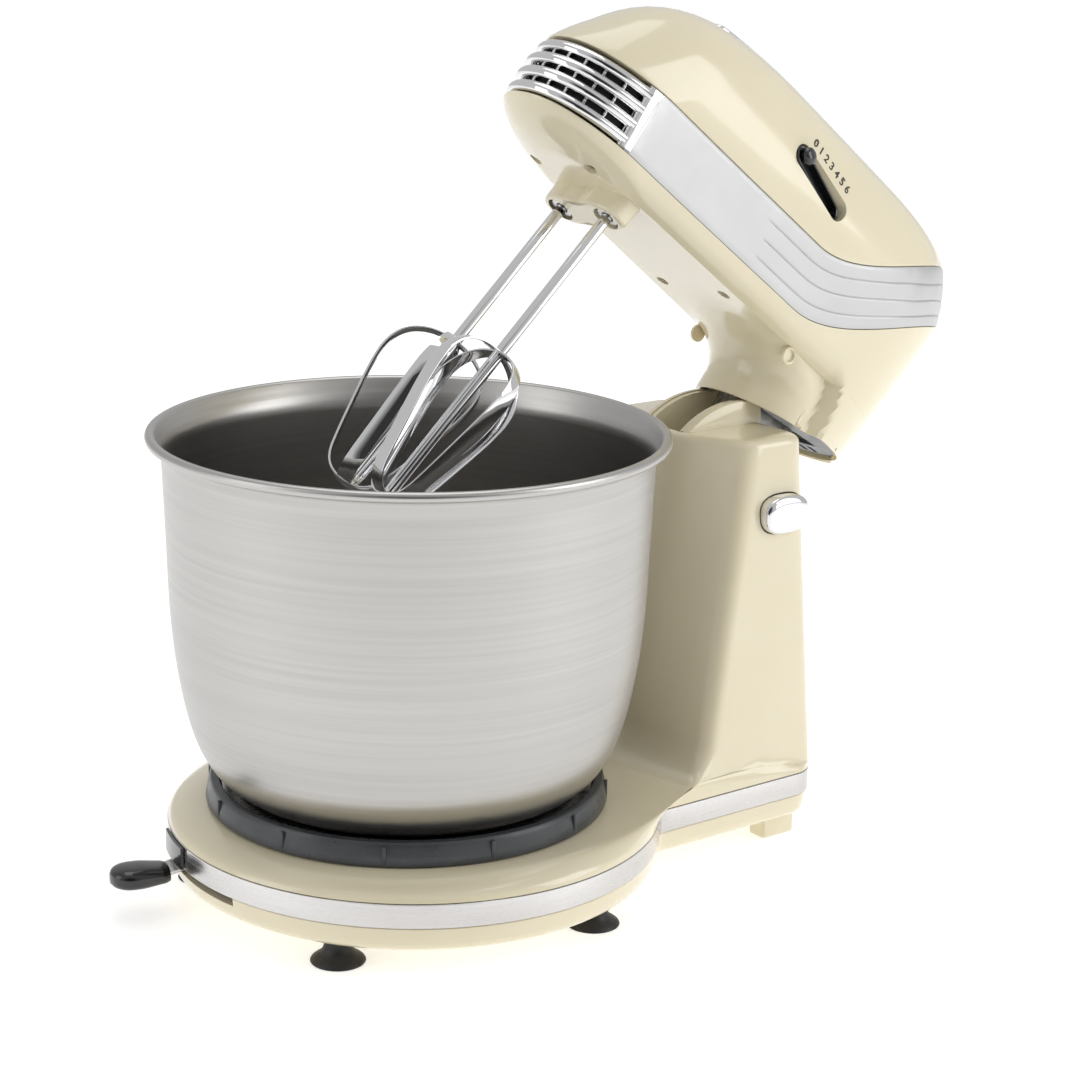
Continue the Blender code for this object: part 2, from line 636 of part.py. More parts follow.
def neck_ring(z, inset, low_offset):
    """Bullet-shaped section of the neck, wider behind, where the rear skirt starts."""
    front = table(NECK_FRONT, z) + inset
    rear = table(NECK_REAR, z) - inset
    slim = NECK_SLIM - inset
    wide = NECK_WIDE - inset
    plan = []
    for i in range(9):
        turn = math.pi / 2 * i / 8
        plan.append((front + slim * (1 - math.cos(turn)), -slim * math.sin(turn)))
    plan += [(-0.5 + inset * 0.4, -slim), (3.5 + inset * 0.6, -wide)]
    for i in range(9):
        turn = math.pi / 2 * i / 8
        plan.append((rear - 24.0 + 24.0 * math.sin(turn) ** 0.9, -wide * math.cos(turn) ** 0.8))
    plan += [(x, -y) for x, y in plan[-2:0:-1]]
    if z < 45.0:
        return [(x, y, neck_low(x) + low_offset) for x, y in plan]
    return [(x, y, z) for x, y in plan]


def neck_solid(name, inset, low_offset, high, parent):
    """Solid of the neck from its sloping underside up into the head."""
    bm = bmesh.new()
    loft(bm, [neck_ring(z, inset, low_offset) for z in (40.0, 49.8, 56.0, 61.0, 64.5, 67.0, high)])
    return finish(name, bm, CREAM, parent)


def make_side_band(parent):
    """Silver band that wraps the head between the shells, clear of the nose grille."""
    bm = bmesh.new()
    rings = [seam_ring(stripe_low, 0.0, 0.3), seam_ring(stripe_high, -GAP, 0.3),
             seam_ring(stripe_high, -GAP, WALL + 0.3), seam_ring(stripe_low, 0.0, WALL + 0.3)]
    loft(bm, rings, close_loop=True)
    band = finish("side_band", bm, SILVER, parent)
    cut(band, box("nose_gap", (-230.0, -60.0, 50.0), (-163.0, 60.0, 140.0), SILVER, parent))
    return band


def make_nose_grille(parent):
    """Chrome grille round the nose: four bars with three long slots between them."""
    bm = bmesh.new()
    rings = []
    for inset in (-0.4, 3.0):
        pair = [level_ring(stripe_low, 0.0, inset, STRIPE_HIGH - GAP, s) for s in (0.0, 1.0)]
        rings += pair if not rings else pair[::-1]
    loft(bm, rings, close_loop=True)
    grille = finish("nose_grille", bm, CHROME, parent)
    cut(grille, box("grille_end", (-163.4, -60.0, 50.0), (80.0, 60.0, 160.0), CHROME, parent))
    pitch = (STRIPE_HIGH - STRIPE_LOW) / 4
    for i in range(3):
        middle = STRIPE_LOW + pitch * (i + 1) + 0.1
        bm = bmesh.new()
        block(bm, (-230.0, -31.5, middle - 1.5), (-167.5, 31.5, middle + 1.5))
        cut(grille, finish(f"grille_slot_{i}", bm, CHROME, parent))
    bm = bmesh.new()
    rings = []
    for inset in (3.4, 4.6):
        pair = [level_ring(stripe_low, 1.0, inset, STRIPE_HIGH - 1.4, s) for s in (0.0, 1.0)]
        rings += pair if not rings else pair[::-1]
    loft(bm, rings, close_loop=True)
    mesh = finish("grille_backing", bm, DARK, parent)
    cut(mesh, box("backing_end", (-166.0, -60.0, 50.0), (80.0, 60.0, 160.0), DARK, parent))


def make_controls(head, knob, eject):
    """Speed recess and knob, and the ejector button with its push rod."""
    bm = bmesh.new()
    half, run = SLOT_HALF - GAP, SLOT_RUN
    rings = [stadium(half, run, -7.5), stadium(half, run, 1.0), stadium(half - 1.4, run, 1.0), stadium(half - 1.4, run, -5.5)]
    loft(bm, rings)
    bmesh.ops.transform(bm, matrix=slot_frame(), verts=bm.verts)
    finish("speed_recess", bm, BLACK, head)
    bm = bmesh.new()
    rings = []
    for grow, z in ((-0.8, -4.8), (0.0, 0.5), (0.9, 2.2), (0.2, 4.4), (-1.4, 5.0)):
        rings.append([(x - SLOT_RUN + 1.0, y, z) for x, y, z in circle(2.7 + grow, z, 20)])
    loft(bm, rings)
    bmesh.ops.transform(bm, matrix=slot_frame(), verts=bm.verts)
    finish("speed_knob", bm, BLACK, knob)
    bm = bmesh.new()
    block(bm, (-138.0, -8.1, 154.0), (-108.0, 8.1, 160.3))
    for vert in bm.verts:
        if vert.co.x < -120.0:
            vert.co.z -= 2.2
    bmesh.ops.bevel(bm, geom=bm.edges[:], offset=0.8, segments=1, affect="EDGES")
    finish("eject_button", bm, CHROME, eject)
    box("eject_rod", (-131.0, -3.0, 118.5), (-124.0, 3.0, 151.2), WHITE, eject, 0.5)


def make_neck_fittings(parent):
    """Slotted plate that closes the neck and the cast arm that turns on the hinge."""
    bm = bmesh.new()
    inset = WALL + 3 * GAP
    low = [(x, y, neck_low(x) + 0.8) for x, y, z in neck_ring(40.0, inset, 0.0)]
    loft(bm, [low, [(x, y, z + 2.0) for x, y, z in low]])
    plate = finish("neck_plate", bm, DARK, parent)
    cut(plate, box("arm_opening", (-34.0, -17.0, 20.0), (23.0, 17.0, 60.0), DARK, parent))
    for i in range(4):
        y = -9.0 + 6.0 * i
        cut(plate, box(f"vent_{i}", (26.5, y - 1.3, 30.0), (32.5, y + 1.3, 60.0), DARK, parent))
    arm = rod("tilt_arm", 8.5, -9.2, 9.2, STEEL, parent, "Y", steps=28)
    web = box("arm_web", (-20.0, -9.2, 4.0), (12.0, 9.2, 48.7), STEEL, parent)
    flange = box("arm_flange", (-22.0, -15.0, 48.1), (20.0, 15.0, 51.6), STEEL, parent)
    join(arm, web)
    join(arm, flange)
    cut(arm, rod("arm_bore", 4.1, -20.0, 20.0, STEEL, parent, "Y", steps=28))
    rod("cord_gland", 5.0, 36.0, 50.6, RUBBER, parent, "X", (0.0, 0.0, 58.0), 3.2)


# ---- drive -----------------------------------------------------------------


def make_drive(head, motor):
    """Motor, its bearings and brushes, the fan, the worm and the gearbox."""
    centre = (0.0, 0.0, MOTOR_Z)
    rod("motor_can", 27.0, -92.0, -40.0, STEEL, head, "X", centre, 22.0, 32)
    rod("front_bearing", 8.0, -104.0, -98.0, BRASS, head, "X", centre, 2.83)
    rod("rear_bearing", 8.0, -30.0, -24.0, BRASS, head, "X", centre, 2.83)
    rod("rotor", 19.5, -90.0, -46.0, STEEL, motor, "X", centre, 3.1, 24)
    rod("motor_shaft", 2.75, -158.0, -14.0, STEEL, motor, "X", centre, steps=16)
    turned("worm", worm_profile(), STEEL, motor, 20, True, along("X", (-137.0, 0.0, MOTOR_Z)))
    make_fan(motor)
    for name, side in (("right", -1), ("left", 1)):
        low, high = sorted((side * 9.5, side * 16.5))
        box(f"brush_holder_{name}", (-41.0 + 3.0, low, MOTOR_Z - 4.0), (-33.0, high, MOTOR_Z + 4.0), BRASS, head)
    box("control_board", (-95.0, -20.0, 136.0), (-62.0, 12.0, 137.6), GREEN, head)
    bm = bmesh.new()
    block(bm, (-158.0, -26.5, 70.5), (-108.0, 26.5, 76.0))
    tray = finish("gearbox_plate", bm, WHITE, head)
    for side in (-1, 1):
        cut(tray, rod(f"plate_bore_{side}", 7.2, -20.0, 30.0, WHITE, head, "Z",
                      (SOCKET[0], side * SOCKET[1], SOCKET[2]), tilt=BEATER_LEAN_DEG))


def worm_profile():
    """Annular thread form, one groove for each turn."""
    points = []
    for i in range(7):
        z = -9.0 + 3.0 * i
        points += [(5.6, z - 0.6), (5.6, z + 0.6), (4.2, z + 1.2)]
        if i < 6:
            points.append((4.2, z + 1.8))
    return points + [(3.05, 10.2), (3.05, -9.6)]


def make_fan(parent):
    """Cooling fan with eight flat blades on the rear of the motor shaft."""
    fan = rod("cooling_fan", 6.0, -22.5, -15.5, WHITE, parent, "X", (0.0, 0.0, MOTOR_Z), 3.05)
    blades = []
    for i in range(8):
        blades.append(box(f"fan_blade_{i}", (-22.0, -0.7, 5.0), (-16.0, 0.7, 22.0), WHITE, parent))
        turn = Matrix.Rotation(2 * math.pi * i / 8, 4, "X")
        move = Matrix.Translation((0.0, 0.0, MOTOR_Z * MM))
        blades[-1].data.transform(move @ turn)
        join(fan, blades[-1])


def make_spindle(name, side, head, spindle, beater):
    """Worm wheel and socket spindle, and the beater that plugs into it."""
    teeth = 24
    bm = bmesh.new()
    rings = []
    for z in (36.0, 44.0):
        ring = []
        for i in range(teeth * 2):
            turn = math.pi * i / teeth
            radius = 9.1 if i % 2 else 7.7
            ring.append((radius * math.cos(turn), radius * math.sin(turn), z))
        rings.append(ring)
    loft(bm, rings)
    finish(f"worm_wheel_{name}", bm, WHITE, spindle)
    cut(bpy.data.objects[f"worm_wheel_{name}"], rod(f"wheel_bore_{name}", 5.3, 30.0, 50.0, WHITE, spindle))
    rod(f"spindle_{name}", 5.0, 1.0, 47.0, STEEL, spindle, bore=2.9, steps=20)
    shaft = rod(f"beater_{name}", 2.5, -BEATER_LENGTH + 2.0, 34.0, CHROME, beater, steps=12)
    for i in range(2):
        turn = 90.0 * i + (45.0 if side > 0 else 0.0)
        join(shaft, beater_loop(f"loop_{name}_{i}", turn, 0.4 * i, beater))


def beater_loop(name, turn_deg, drop, parent):
    """One flat strip bent into a loop: wide shoulders near the top, drawn in at the tip."""
    path = [(0.0, -74.0), (9.0, -75.0), (17.0, -78.5), (21.5, -85.0), (22.6, -92.0), (20.6, -107.0),
            (17.0, -124.0), (13.2, -139.0), (10.0, -145.0), (5.0, -148.4), (0.0, -149.4)]
    outline = [(x, z) for x, z in path] + [(-x, z) for x, z in path[-2:0:-1]]
    bm = bmesh.new()
    rings = []
    for inset, side in ((0.0, -1), (0.0, 1), (1.0, 1), (1.0, -1)):
        ring = []
        middle = -110.0
        for x, z in outline:
            half = STRIP_HALF * (0.72 + 0.28 * smooth((-z - 76.0) / 20.0))
            pull_x = min(inset, abs(x))
            pull_z = inset * (middle - z) / 40.0
            ring.append((x - math.copysign(pull_x, x) if abs(x) > 12.0 else x,
                         side * half, z + max(min(pull_z, inset), -inset) - drop))
        rings.append(ring)
    loft(bm, rings, close_loop=True)
    bmesh.ops.transform(bm, matrix=Matrix.Rotation(math.radians(turn_deg), 4, "Z"), verts=bm.verts)
    return finish(name, bm, CHROME, parent)


def make_head_screws(parent):
    """Shell screws driven from below at the nose and up through the neck."""
    for name, (x, y) in {"front_right": (-165.0, -18.0), "front_left": (-165.0, 18.0),
                         "rear_right": (-72.0, -20.0), "rear_left": (-72.0, 20.0)}.items():
        profile = ((2.6, 69.4), (2.6, 71.4), (1.2, 71.4), (1.2, 84.0 if x < -100 else 77.0))
        turned(f"head_screw_{name}", profile, STEEL, parent, 12, False, along("Z", (x, y, 0.0)))
        hole = rod(f"screw_well_{name}", 3.0, 60.0, 69.5, CREAM, parent, "Z", (x, y, 0.0), steps=14)
        cut(bpy.data.objects["head_lower_shell"], hole)


def build():
    clear_scene()
    mixer = empty("mixer_frame", loc=(FRAME_X, 0.0, 0.0))
    make_column_shell(mixer)
    make_bottom_shell(mixer)
    make_band(mixer)
    make_base_hardware(mixer)
    make_column_fittings(mixer)
    lever = empty("lever_axis", mixer)
    make_turntable(lever)
    make_seat_ring(empty("seat_axis", lever))
    make_bowl(empty("bowl_axis", lever))
    make_release(empty("release_axis", mixer))
    hinge = empty("hinge_axis", mixer, (HINGE[0], 0.0, HINGE[1]), (0.0, TILT_DEG, 0.0))
    make_upper_shell(hinge)
    make_lower_shell(hinge)
    make_side_band(hinge)
    make_nose_grille(hinge)
    make_controls(hinge, empty("knob_axis", hinge), empty("eject_axis", hinge))
    make_neck_fittings(hinge)
    motor = empty("motor_axis", hinge)
    make_drive(hinge, motor)
    make_head_screws(hinge)
    for name, side in (("right", -1), ("left", 1)):
        spindle = empty(f"spindle_axis_{name}", hinge, (SOCKET[0], side * SOCKET[1], SOCKET[2]),
                        (0.0, BEATER_LEAN_DEG, 0.0))
        make_spindle(name, side, hinge, spindle, empty(f"beater_axis_{name}", spindle))


build()
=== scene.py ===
import math

import bmesh
import bpy
from mathutils import Matrix, Vector


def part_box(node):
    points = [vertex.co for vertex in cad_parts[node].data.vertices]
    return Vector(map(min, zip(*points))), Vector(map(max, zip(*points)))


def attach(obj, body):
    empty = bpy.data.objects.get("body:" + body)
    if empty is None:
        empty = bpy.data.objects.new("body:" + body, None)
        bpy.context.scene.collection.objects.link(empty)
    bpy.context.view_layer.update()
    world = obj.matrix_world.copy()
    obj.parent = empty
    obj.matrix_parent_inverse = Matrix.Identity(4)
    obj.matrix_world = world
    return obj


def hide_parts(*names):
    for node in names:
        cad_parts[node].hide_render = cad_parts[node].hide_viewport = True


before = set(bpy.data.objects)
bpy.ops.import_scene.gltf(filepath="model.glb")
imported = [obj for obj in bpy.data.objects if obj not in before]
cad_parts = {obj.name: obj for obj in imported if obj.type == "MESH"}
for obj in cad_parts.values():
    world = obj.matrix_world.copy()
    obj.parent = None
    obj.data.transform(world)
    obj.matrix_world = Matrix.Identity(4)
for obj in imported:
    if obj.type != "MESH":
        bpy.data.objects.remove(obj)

bpy.ops.object.select_all(action="DESELECT")
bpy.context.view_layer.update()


# ---- Base cover and column --------------------------------------------------
# One glossy cream ABS moulding: a round plate, a foot behind it and the hollow
# column, drawn in one piece. It is screwed to the tray from below, and its top
# has a slot with raised lips for the arm of the head.
bowl_low, bowl_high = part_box("bowl")
AXIS_X = (bowl_low[0] + bowl_high[0]) * 500
BASE_PLACE = Matrix.Translation((AXIS_X * 0.001, 0, 0))
PLATE_X, PLATE_R = 4.0, 102.5
FOOT_HALF, FOOT_REAR = 63.0, 178.0
HINGE_X, HINGE_Z, TILT_DEG = 164.0, 142.0, 38.0


def curve(points, value):
    """Smooth reading of (key, value) points with rising keys."""
    keys = [p[0] for p in points]
    vals = [p[1] for p in points]
    if value <= keys[0]:
        return vals[0]
    if value >= keys[-1]:
        return vals[-1]
    i = max(k for k in range(len(keys) - 1) if keys[k] <= value)
    slope = [(vals[k + 1] - vals[k]) / (keys[k + 1] - keys[k]) for k in range(len(keys) - 1)]

    def tangent(k):
        if k == 0 or k == len(keys) - 1:
            return slope[min(k, len(slope) - 1)]
        a, b = slope[k - 1], slope[k]
        return 0.0 if a * b <= 0 else 2 * a * b / (a + b)

    width = keys[i + 1] - keys[i]
    t = (value - keys[i]) / width
    m0, m1 = tangent(i) * width, tangent(i + 1) * width
    return ((2 * t ** 3 - 3 * t ** 2 + 1) * vals[i] + (t ** 3 - 2 * t ** 2 + t) * m0
            + (-2 * t ** 3 + 3 * t ** 2) * vals[i + 1] + (t ** 3 - t ** 2) * m1)


def ease(t):
    """Smooth step from 0 to 1."""
    t = min(max(t, 0.0), 1.0)
    return t * t * (3 - 2 * t)


def mirrored(half):
    """Whole outline from its right half, which runs from the front to the rear."""
    return half + [(x, -y, z) for x, y, z in half[-2:0:-1]]


def from_faces(name, points, faces, weld=False, split=False):
    """Object from points in metres and faces, all turned outward; split cuts its many-sided ends up."""
    mesh = bpy.data.meshes.new(name)
    mesh.from_pydata(points, [], faces)
    bm = bmesh.new()
    bm.from_mesh(mesh)
    if weld:
        bmesh.ops.remove_doubles(bm, verts=bm.verts, dist=0.00002)
        bmesh.ops.dissolve_degenerate(bm, dist=0.00001, edges=bm.edges)
    if split:
        bmesh.ops.triangulate(bm, faces=[f for f in bm.faces if len(f.verts) > 4])
    bmesh.ops.recalc_face_normals(bm, faces=bm.faces)
    bm.to_mesh(mesh)
    bm.free()
    piece = bpy.data.objects.new(name, mesh)
    bpy.context.collection.objects.link(piece)
    return piece


def skin(name, rings, place=Matrix(), low=False, high=False, loop=False, angle=30):
    """Joins rings of points, in millimetres, into one shell; the ends close with cross strips."""
    count = len(rings[0])
    points = [place @ (Vector(p) * 0.001) for ring in rings for p in ring]
    faces = []
    for k in range(len(rings) if loop else len(rings) - 1):
        a, b = k * count, (k + 1) % len(rings) * count
        faces += [(a + i, a + (i + 1) % count, b + (i + 1) % count, b + i) for i in range(count)]
    for wanted, a in ((low, 0), (high, (len(rings) - 1) * count)):
        for i in range(count // 2 if wanted else 0):
            strip = [a + i, a + i + 1, a + (count - i - 1) % count, a + (count - i) % count]
            faces.append(tuple(dict.fromkeys(strip)))
    piece = from_faces(name, points, faces, weld=True)
    smooth_by_angle(piece, angle)
    return piece


def smooth_by_angle(piece, angle=30):
    """Smooth shading with creases above an angle in degrees."""
    piece.data.shade_smooth()
    piece.data.set_sharp_from_angle(angle=math.radians(angle))


def apply_all(piece):
    """Applies every modifier of a piece, in order."""
    bpy.ops.object.select_all(action="DESELECT")
    bpy.context.view_layer.objects.active = piece
    piece.select_set(True)
    for mod in list(piece.modifiers):
        bpy.ops.object.modifier_apply(modifier=mod.name)
    piece.select_set(False)


def carve(piece, tool, operation="DIFFERENCE"):
    """Cuts with a tool, or joins it, and deletes the tool."""
    mod = piece.modifiers.new("carve", "BOOLEAN")
    mod.solver = "EXACT"
    mod.operation = operation
    mod.object = tool
    apply_all(piece)
    bpy.data.objects.remove(tool, do_unlink=True)
    smooth_by_angle(piece)


def slab(name, low, high, place=Matrix(), bevel=0.0, segments=3):
    """Rounded block between two corners in millimetres."""
    bpy.ops.mesh.primitive_cube_add(size=1)
    piece = bpy.context.active_object
    piece.name = name
    piece.select_set(False)
    size = [(b - a) * 0.001 for a, b in zip(low, high)]
    middle = Vector([(a + b) * 0.0005 for a, b in zip(low, high)])
    piece.data.transform(place @ Matrix.Translation(middle) @ Matrix.Diagonal((*size, 1)))
    if bevel:
        mod = piece.modifiers.new("bevel", "BEVEL")
        mod.width = bevel * 0.001
        mod.segments = segments
        apply_all(piece)
    smooth_by_angle(piece)
    return piece


def turned(name, profile, place=Matrix(), steps=96, loop=False, low=True, high=True):
    """Turned piece about Z from (radius, height) points in millimetres."""
    rings = []
    for radius, z in profile:
        rings.append([(radius * math.cos(2 * math.pi * i / steps + math.pi),
                       radius * math.sin(2 * math.pi * i / steps + math.pi), z) for i in range(steps)])
    return skin(name, rings, place, low and not loop, high and not loop, loop)


def wear(piece, body, look, slot, *nodes):
    """Gives a finished piece its finish and its place in the frame."""
    piece.data.materials.clear()
    piece.data.materials.append(look)
    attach(piece, body)
    if nodes:
        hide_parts(*nodes)


def refinish(look, *nodes):
    """Gives CAD pieces that stay as they are their finish."""
    for node in nodes:
        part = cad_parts[node]
        part.data.materials.clear()
        part.data.materials.append(look)


def base_half(inset, z):
    """Right half of the base's outline: round plate, waist, foot side, corner and rear."""
    radius, half, rear = PLATE_R - inset, FOOT_HALF - inset, FOOT_REAR - inset
    fillet = 12.0 + inset
    corner = 14.0 - min(inset, 8.0)
    reach = math.sqrt((radius + fillet) ** 2 - (half + fillet) ** 2)
    start = math.atan2(half + fillet, reach)
    half_line = []
    for i in range(61):
        turn = math.pi + (math.pi - start) * i / 60
        half_line.append((PLATE_X + radius * math.cos(turn), radius * math.sin(turn), z))
    for i in range(1, 13):
        turn = math.pi - start - (math.pi / 2 - start) * i / 12
        half_line.append((PLATE_X + reach + fillet * math.cos(turn), -half - fillet + fillet * math.sin(turn), z))
    first = half_line[-1][0]
    for i in range(1, 13):
        half_line.append((first + (rear - corner - first) * i / 12, -half, z))
    for i in range(1, 11):
        turn = -math.pi / 2 + math.pi / 2 * i / 10
        half_line.append((rear - corner + corner * math.cos(turn), -half + corner + corner * math.sin(turn), z))
    for i in range(1, 11):
        half_line.append((rear, (-half + corner) * (1 - i / 10), z))
    return half_line


def rounded_path(corners, radii, straight, bend):
    """Path through corners with eased bends: straight[i] points on each run, bend[i] on each corner."""
    ends = [Vector(corners[0])]
    for i in range(1, len(corners) - 1):
        here = Vector(corners[i])
        back = (Vector(corners[i - 1]) - here).normalized() * radii[i - 1]
        ahead = (Vector(corners[i + 1]) - here).normalized() * radii[i - 1]
        ends += [here + back, here, here + ahead]
    ends.append(Vector(corners[-1]))
    path = [ends[0]]
    for i in range(len(corners) - 1):
        a, b = ends[3 * i], ends[3 * i + 1]
        path += [a.lerp(b, k / straight[i]) for k in range(1, straight[i] + 1)]
        if i < len(corners) - 2:
            c, d = ends[3 * i + 2], ends[3 * i + 3]
            for k in range(1, bend[i] + 1):
                t = k / bend[i]
                path.append(b.lerp(c, t).lerp(c.lerp(d, t), t))
    return path


def column_half(z, inset=0.0):
    """Right half of the column's section at height z: slim front, slanted face, side and rear."""
    t = (z - 31.6) / 147.4
    half = 61.0 - 16.0 * t - inset
    front = 104.0 + 25.0 * t + inset
    shoulder = 110.0 + 35.0 * t + inset * 0.6
    rear = 177.0 - 0.5 * t - inset
    path = rounded_path([(front, 0), (front, -15.0 + inset * 0.4), (shoulder, -half), (rear, -half), (rear, 0)],
                        (9.0, 7.0, 9.0), (8, 32, 24, 10), (8, 12, 10))
    return [(p.x, p.y, z) for p in path]


def plate_height(d):
    """Height of the plate's top at distance d in from its rim."""
    return 31.95 + 1.9 * (1 - math.exp(-d / 0.9)) + 5.35 * (1 - (1 - min(d, 24.0) / 24.0) ** 2.2)


def cover_rings():
    """Rings of the cover: in over the plate, up a fillet, then up the column to its rounded top."""
    rim = base_half(0.0, 31.95)
    wall = column_half(42.0)
    span = [math.hypot(a[0] - b[0], a[1] - b[1]) for a, b in zip(rim, wall)]
    fillet = [min(15.0, s * 0.45) for s in span]
    rings = []
    for d in (0.0, 0.2, 0.5, 0.9, 1.5, 2.3, 3.5, 5.5, 8.0, 11.5, 16.0, 20.0, 24.0, 32.0, 1000.0):
        ring = []
        for a, b, s, f in zip(rim, wall, span, fillet):
            go = min(d, s - f)
            ring.append((a[0] + (b[0] - a[0]) * go / s, a[1] + (b[1] - a[1]) * go / s, plate_height(go)))
        rings.append(mirrored(ring))
    for k in range(1, 11):
        turn = math.pi / 2 * k / 10
        ring = []
        for i, (a, b, s, f) in enumerate(zip(rim, wall, span, fillet)):
            z = plate_height(s - f) + f * (1 - math.cos(turn))
            e = f * (1 - math.sin(turn)) / s
            c = column_half(z)[i]
            ring.append((c[0] + (a[0] - b[0]) * e, c[1] + (a[1] - b[1]) * e, z))
        rings.append(mirrored(ring))
    for z in (62.0, 80.0, 100.0, 120.0, 140.0, 160.0, 170.0, 176.0):
        rings.append(mirrored(column_half(z)))
    for k in range(1, 7):
        turn = math.pi / 2 * k / 6
        rings.append(mirrored(column_half(176.0 + 3.0 * math.sin(turn), 3.0 * (1 - math.cos(turn)))))
    return rings


def lips():
    """Raised rim round the slot, its top curved about the hinge."""
    rings = []
    for y, drop in ((-15.9, 1.2), (-15.5, 0.3), (-14.6, 0.0), (14.6, 0.0), (15.5, 0.3), (15.9, 1.2)):
        ring = []
        for i in range(25):
            x = -32.5 + 45.0 * i / 24
            ring.append((HINGE_X + x, y, HINGE_Z + math.sqrt((47.4 - drop) ** 2 - x * x)))
        ring += [(HINGE_X + 12.5, y, 172.0), (HINGE_X - 32.5, y, 172.0)]
        rings.append(ring)
    mesh_piece = skin("slot_lips", rings, BASE_PLACE)
    bm = bmesh.new()
    bm.from_mesh(mesh_piece.data)
    bmesh.ops.holes_fill(bm, edges=[e for e in bm.edges if e.is_boundary])
    bmesh.ops.recalc_face_normals(bm, faces=bm.faces)
    bm.to_mesh(mesh_piece.data)
    bm.free()
    return mesh_piece


def shader_of(look):
    """The shader node of a finish."""
    return look.node_tree.nodes["Principled BSDF"]


def new_look(name, rough, metal=0.0, color=(0.8, 0.8, 0.8)):
    """A finish of one colour, before its grain is added."""
    look = bpy.data.materials.new(name)
    look.use_nodes = True
    shader = shader_of(look)
    shader.inputs["Base Color"].default_value = (*color, 1)
    shader.inputs["Roughness"].default_value = rough
    shader.inputs["Metallic"].default_value = metal
    return look


def grain(look, scale, stretch=(1, 1, 1), detail=3.0):
    """Noise read from Object coordinates, stretched by a Mapping node."""
    nodes, links = look.node_tree.nodes, look.node_tree.links
    where = nodes.new("ShaderNodeTexCoord")
    mapping = nodes.new("ShaderNodeMapping")
    mapping.inputs["Scale"].default_value = stretch
    noise = nodes.new("ShaderNodeTexNoise")
    noise.inputs["Scale"].default_value = scale
    noise.inputs["Detail"].default_value = detail
    links.new(where.outputs["Object"], mapping.inputs["Vector"])
    links.new(mapping.outputs["Vector"], noise.inputs["Vector"])
    return noise.outputs["Fac"]


def tone(look, fac, dark, light, low=0.3, high=0.7):
    """Colour that drifts between two tones of the same finish."""
    ramp = look.node_tree.nodes.new("ShaderNodeValToRGB")
    ramp.color_ramp.elements[0].position = low
    ramp.color_ramp.elements[0].color = (*dark, 1)
    ramp.color_ramp.elements[1].position = high
    ramp.color_ramp.elements[1].color = (*light, 1)
    look.node_tree.links.new(fac, ramp.inputs["Fac"])
    look.node_tree.links.new(ramp.outputs["Color"], shader_of(look).inputs["Base Color"])


def vary_rough(look, fac, low, high):
    """Roughness that drifts between two values."""
    remap = look.node_tree.nodes.new("ShaderNodeMapRange")
    remap.inputs["From Min"].default_value = 0.3
    remap.inputs["From Max"].default_value = 0.7
    remap.inputs["To Min"].default_value = low
    remap.inputs["To Max"].default_value = high
    look.node_tree.links.new(fac, remap.inputs["Value"])
    look.node_tree.links.new(remap.outputs["Result"], shader_of(look).inputs["Roughness"])


def bump(look, fac, strength, depth):
    """Fine relief on the surface."""
    node = look.node_tree.nodes.new("ShaderNodeBump")
    node.inputs["Strength"].default_value = strength
    node.inputs["Distance"].default_value = depth
    look.node_tree.links.new(fac, node.inputs["Height"])
    look.node_tree.links.new(node.outputs["Normal"], shader_of(look).inputs["Normal"])


cream = new_look("cream_gloss", 0.16)
shader_of(cream).inputs["Coat Weight"].default_value = 0.6
shader_of(cream).inputs["Coat Roughness"].default_value = 0.06
shader_of(cream).inputs["Subsurface Weight"].default_value = 0.06
shader_of(cream).inputs["Subsurface Radius"].default_value = (0.004, 0.003, 0.0015)
tone(cream, grain(cream, 22.0), (0.790, 0.715, 0.515), (0.815, 0.740, 0.540))
vary_rough(cream, grain(cream, 60.0, detail=5.0), 0.13, 0.20)
bump(cream, grain(cream, 700.0, detail=2.0), 0.05, 0.0002)

cover = skin("base_cover", cover_rings(), BASE_PLACE, low=True, high=True)
carve(cover, lips(), "UNION")
carve(cover, slab("slot_tool", (133.5, -13.0, 130.0), (190.0, 13.0, 200.0), BASE_PLACE))
carve(cover, turned("hub_tool", ((20.4, 25.0), (20.4, 45.0)), BASE_PLACE))
wear(cover, "base", cream, "cream_plastic", "column_shell")


# ---- Tray -------------------------------------------------------------------
# Lower half of the base, moulded in the same cream ABS. It carries the suction
# feet, two moulded rear feet and the slot that the shift lever swings in.
tray_rings = [mirrored(base_half(inset, z)) for inset, z in
              ((9.0, 10.0), (6.5, 10.25), (4.6, 10.9), (3.1, 11.9), (2.1, 13.1), (1.4, 14.8), (1.0, 17.0),
               (0.6, 21.0), (0.9, 21.25))]
tray = skin("base_tray", tray_rings, BASE_PLACE, low=True, high=True)
slot_rings = []
for r, z in ((88.0, 17.9), (110.0, 17.9), (110.0, 23.0), (88.0, 23.0)):
    arc = [math.radians(157.0 + 34.0 * i / 20) for i in range(21)]
    slot_rings.append([(r * math.cos(a), r * math.sin(a), z) for a in arc])


def strip(name, rows, place, split=False):
    """Closed block from long edges that run side by side, with flat ends."""
    count = len(rows[0])
    points = [place @ (Vector(p) * 0.001) for row in rows for p in row]
    faces = []
    for k in range(len(rows)):
        a, b = k * count, (k + 1) % len(rows) * count
        faces += [(a + i, a + i + 1, b + i + 1, b + i) for i in range(count - 1)]
    faces += [tuple(k * count for k in range(len(rows))), tuple(k * count + count - 1 for k in range(len(rows)))]
    return from_faces(name, points, faces, split=split)


carve(tray, strip("lever_slot_tool", slot_rings, BASE_PLACE))
for side in (-49.0, 49.0):
    carve(tray, slab("rear_foot", (154.0, side - 5.0, 0.0), (172.0, side + 5.0, 12.0), BASE_PLACE, 1.5), "UNION")
wear(tray, "base", cream, "cream_plastic", "base_bottom_shell")


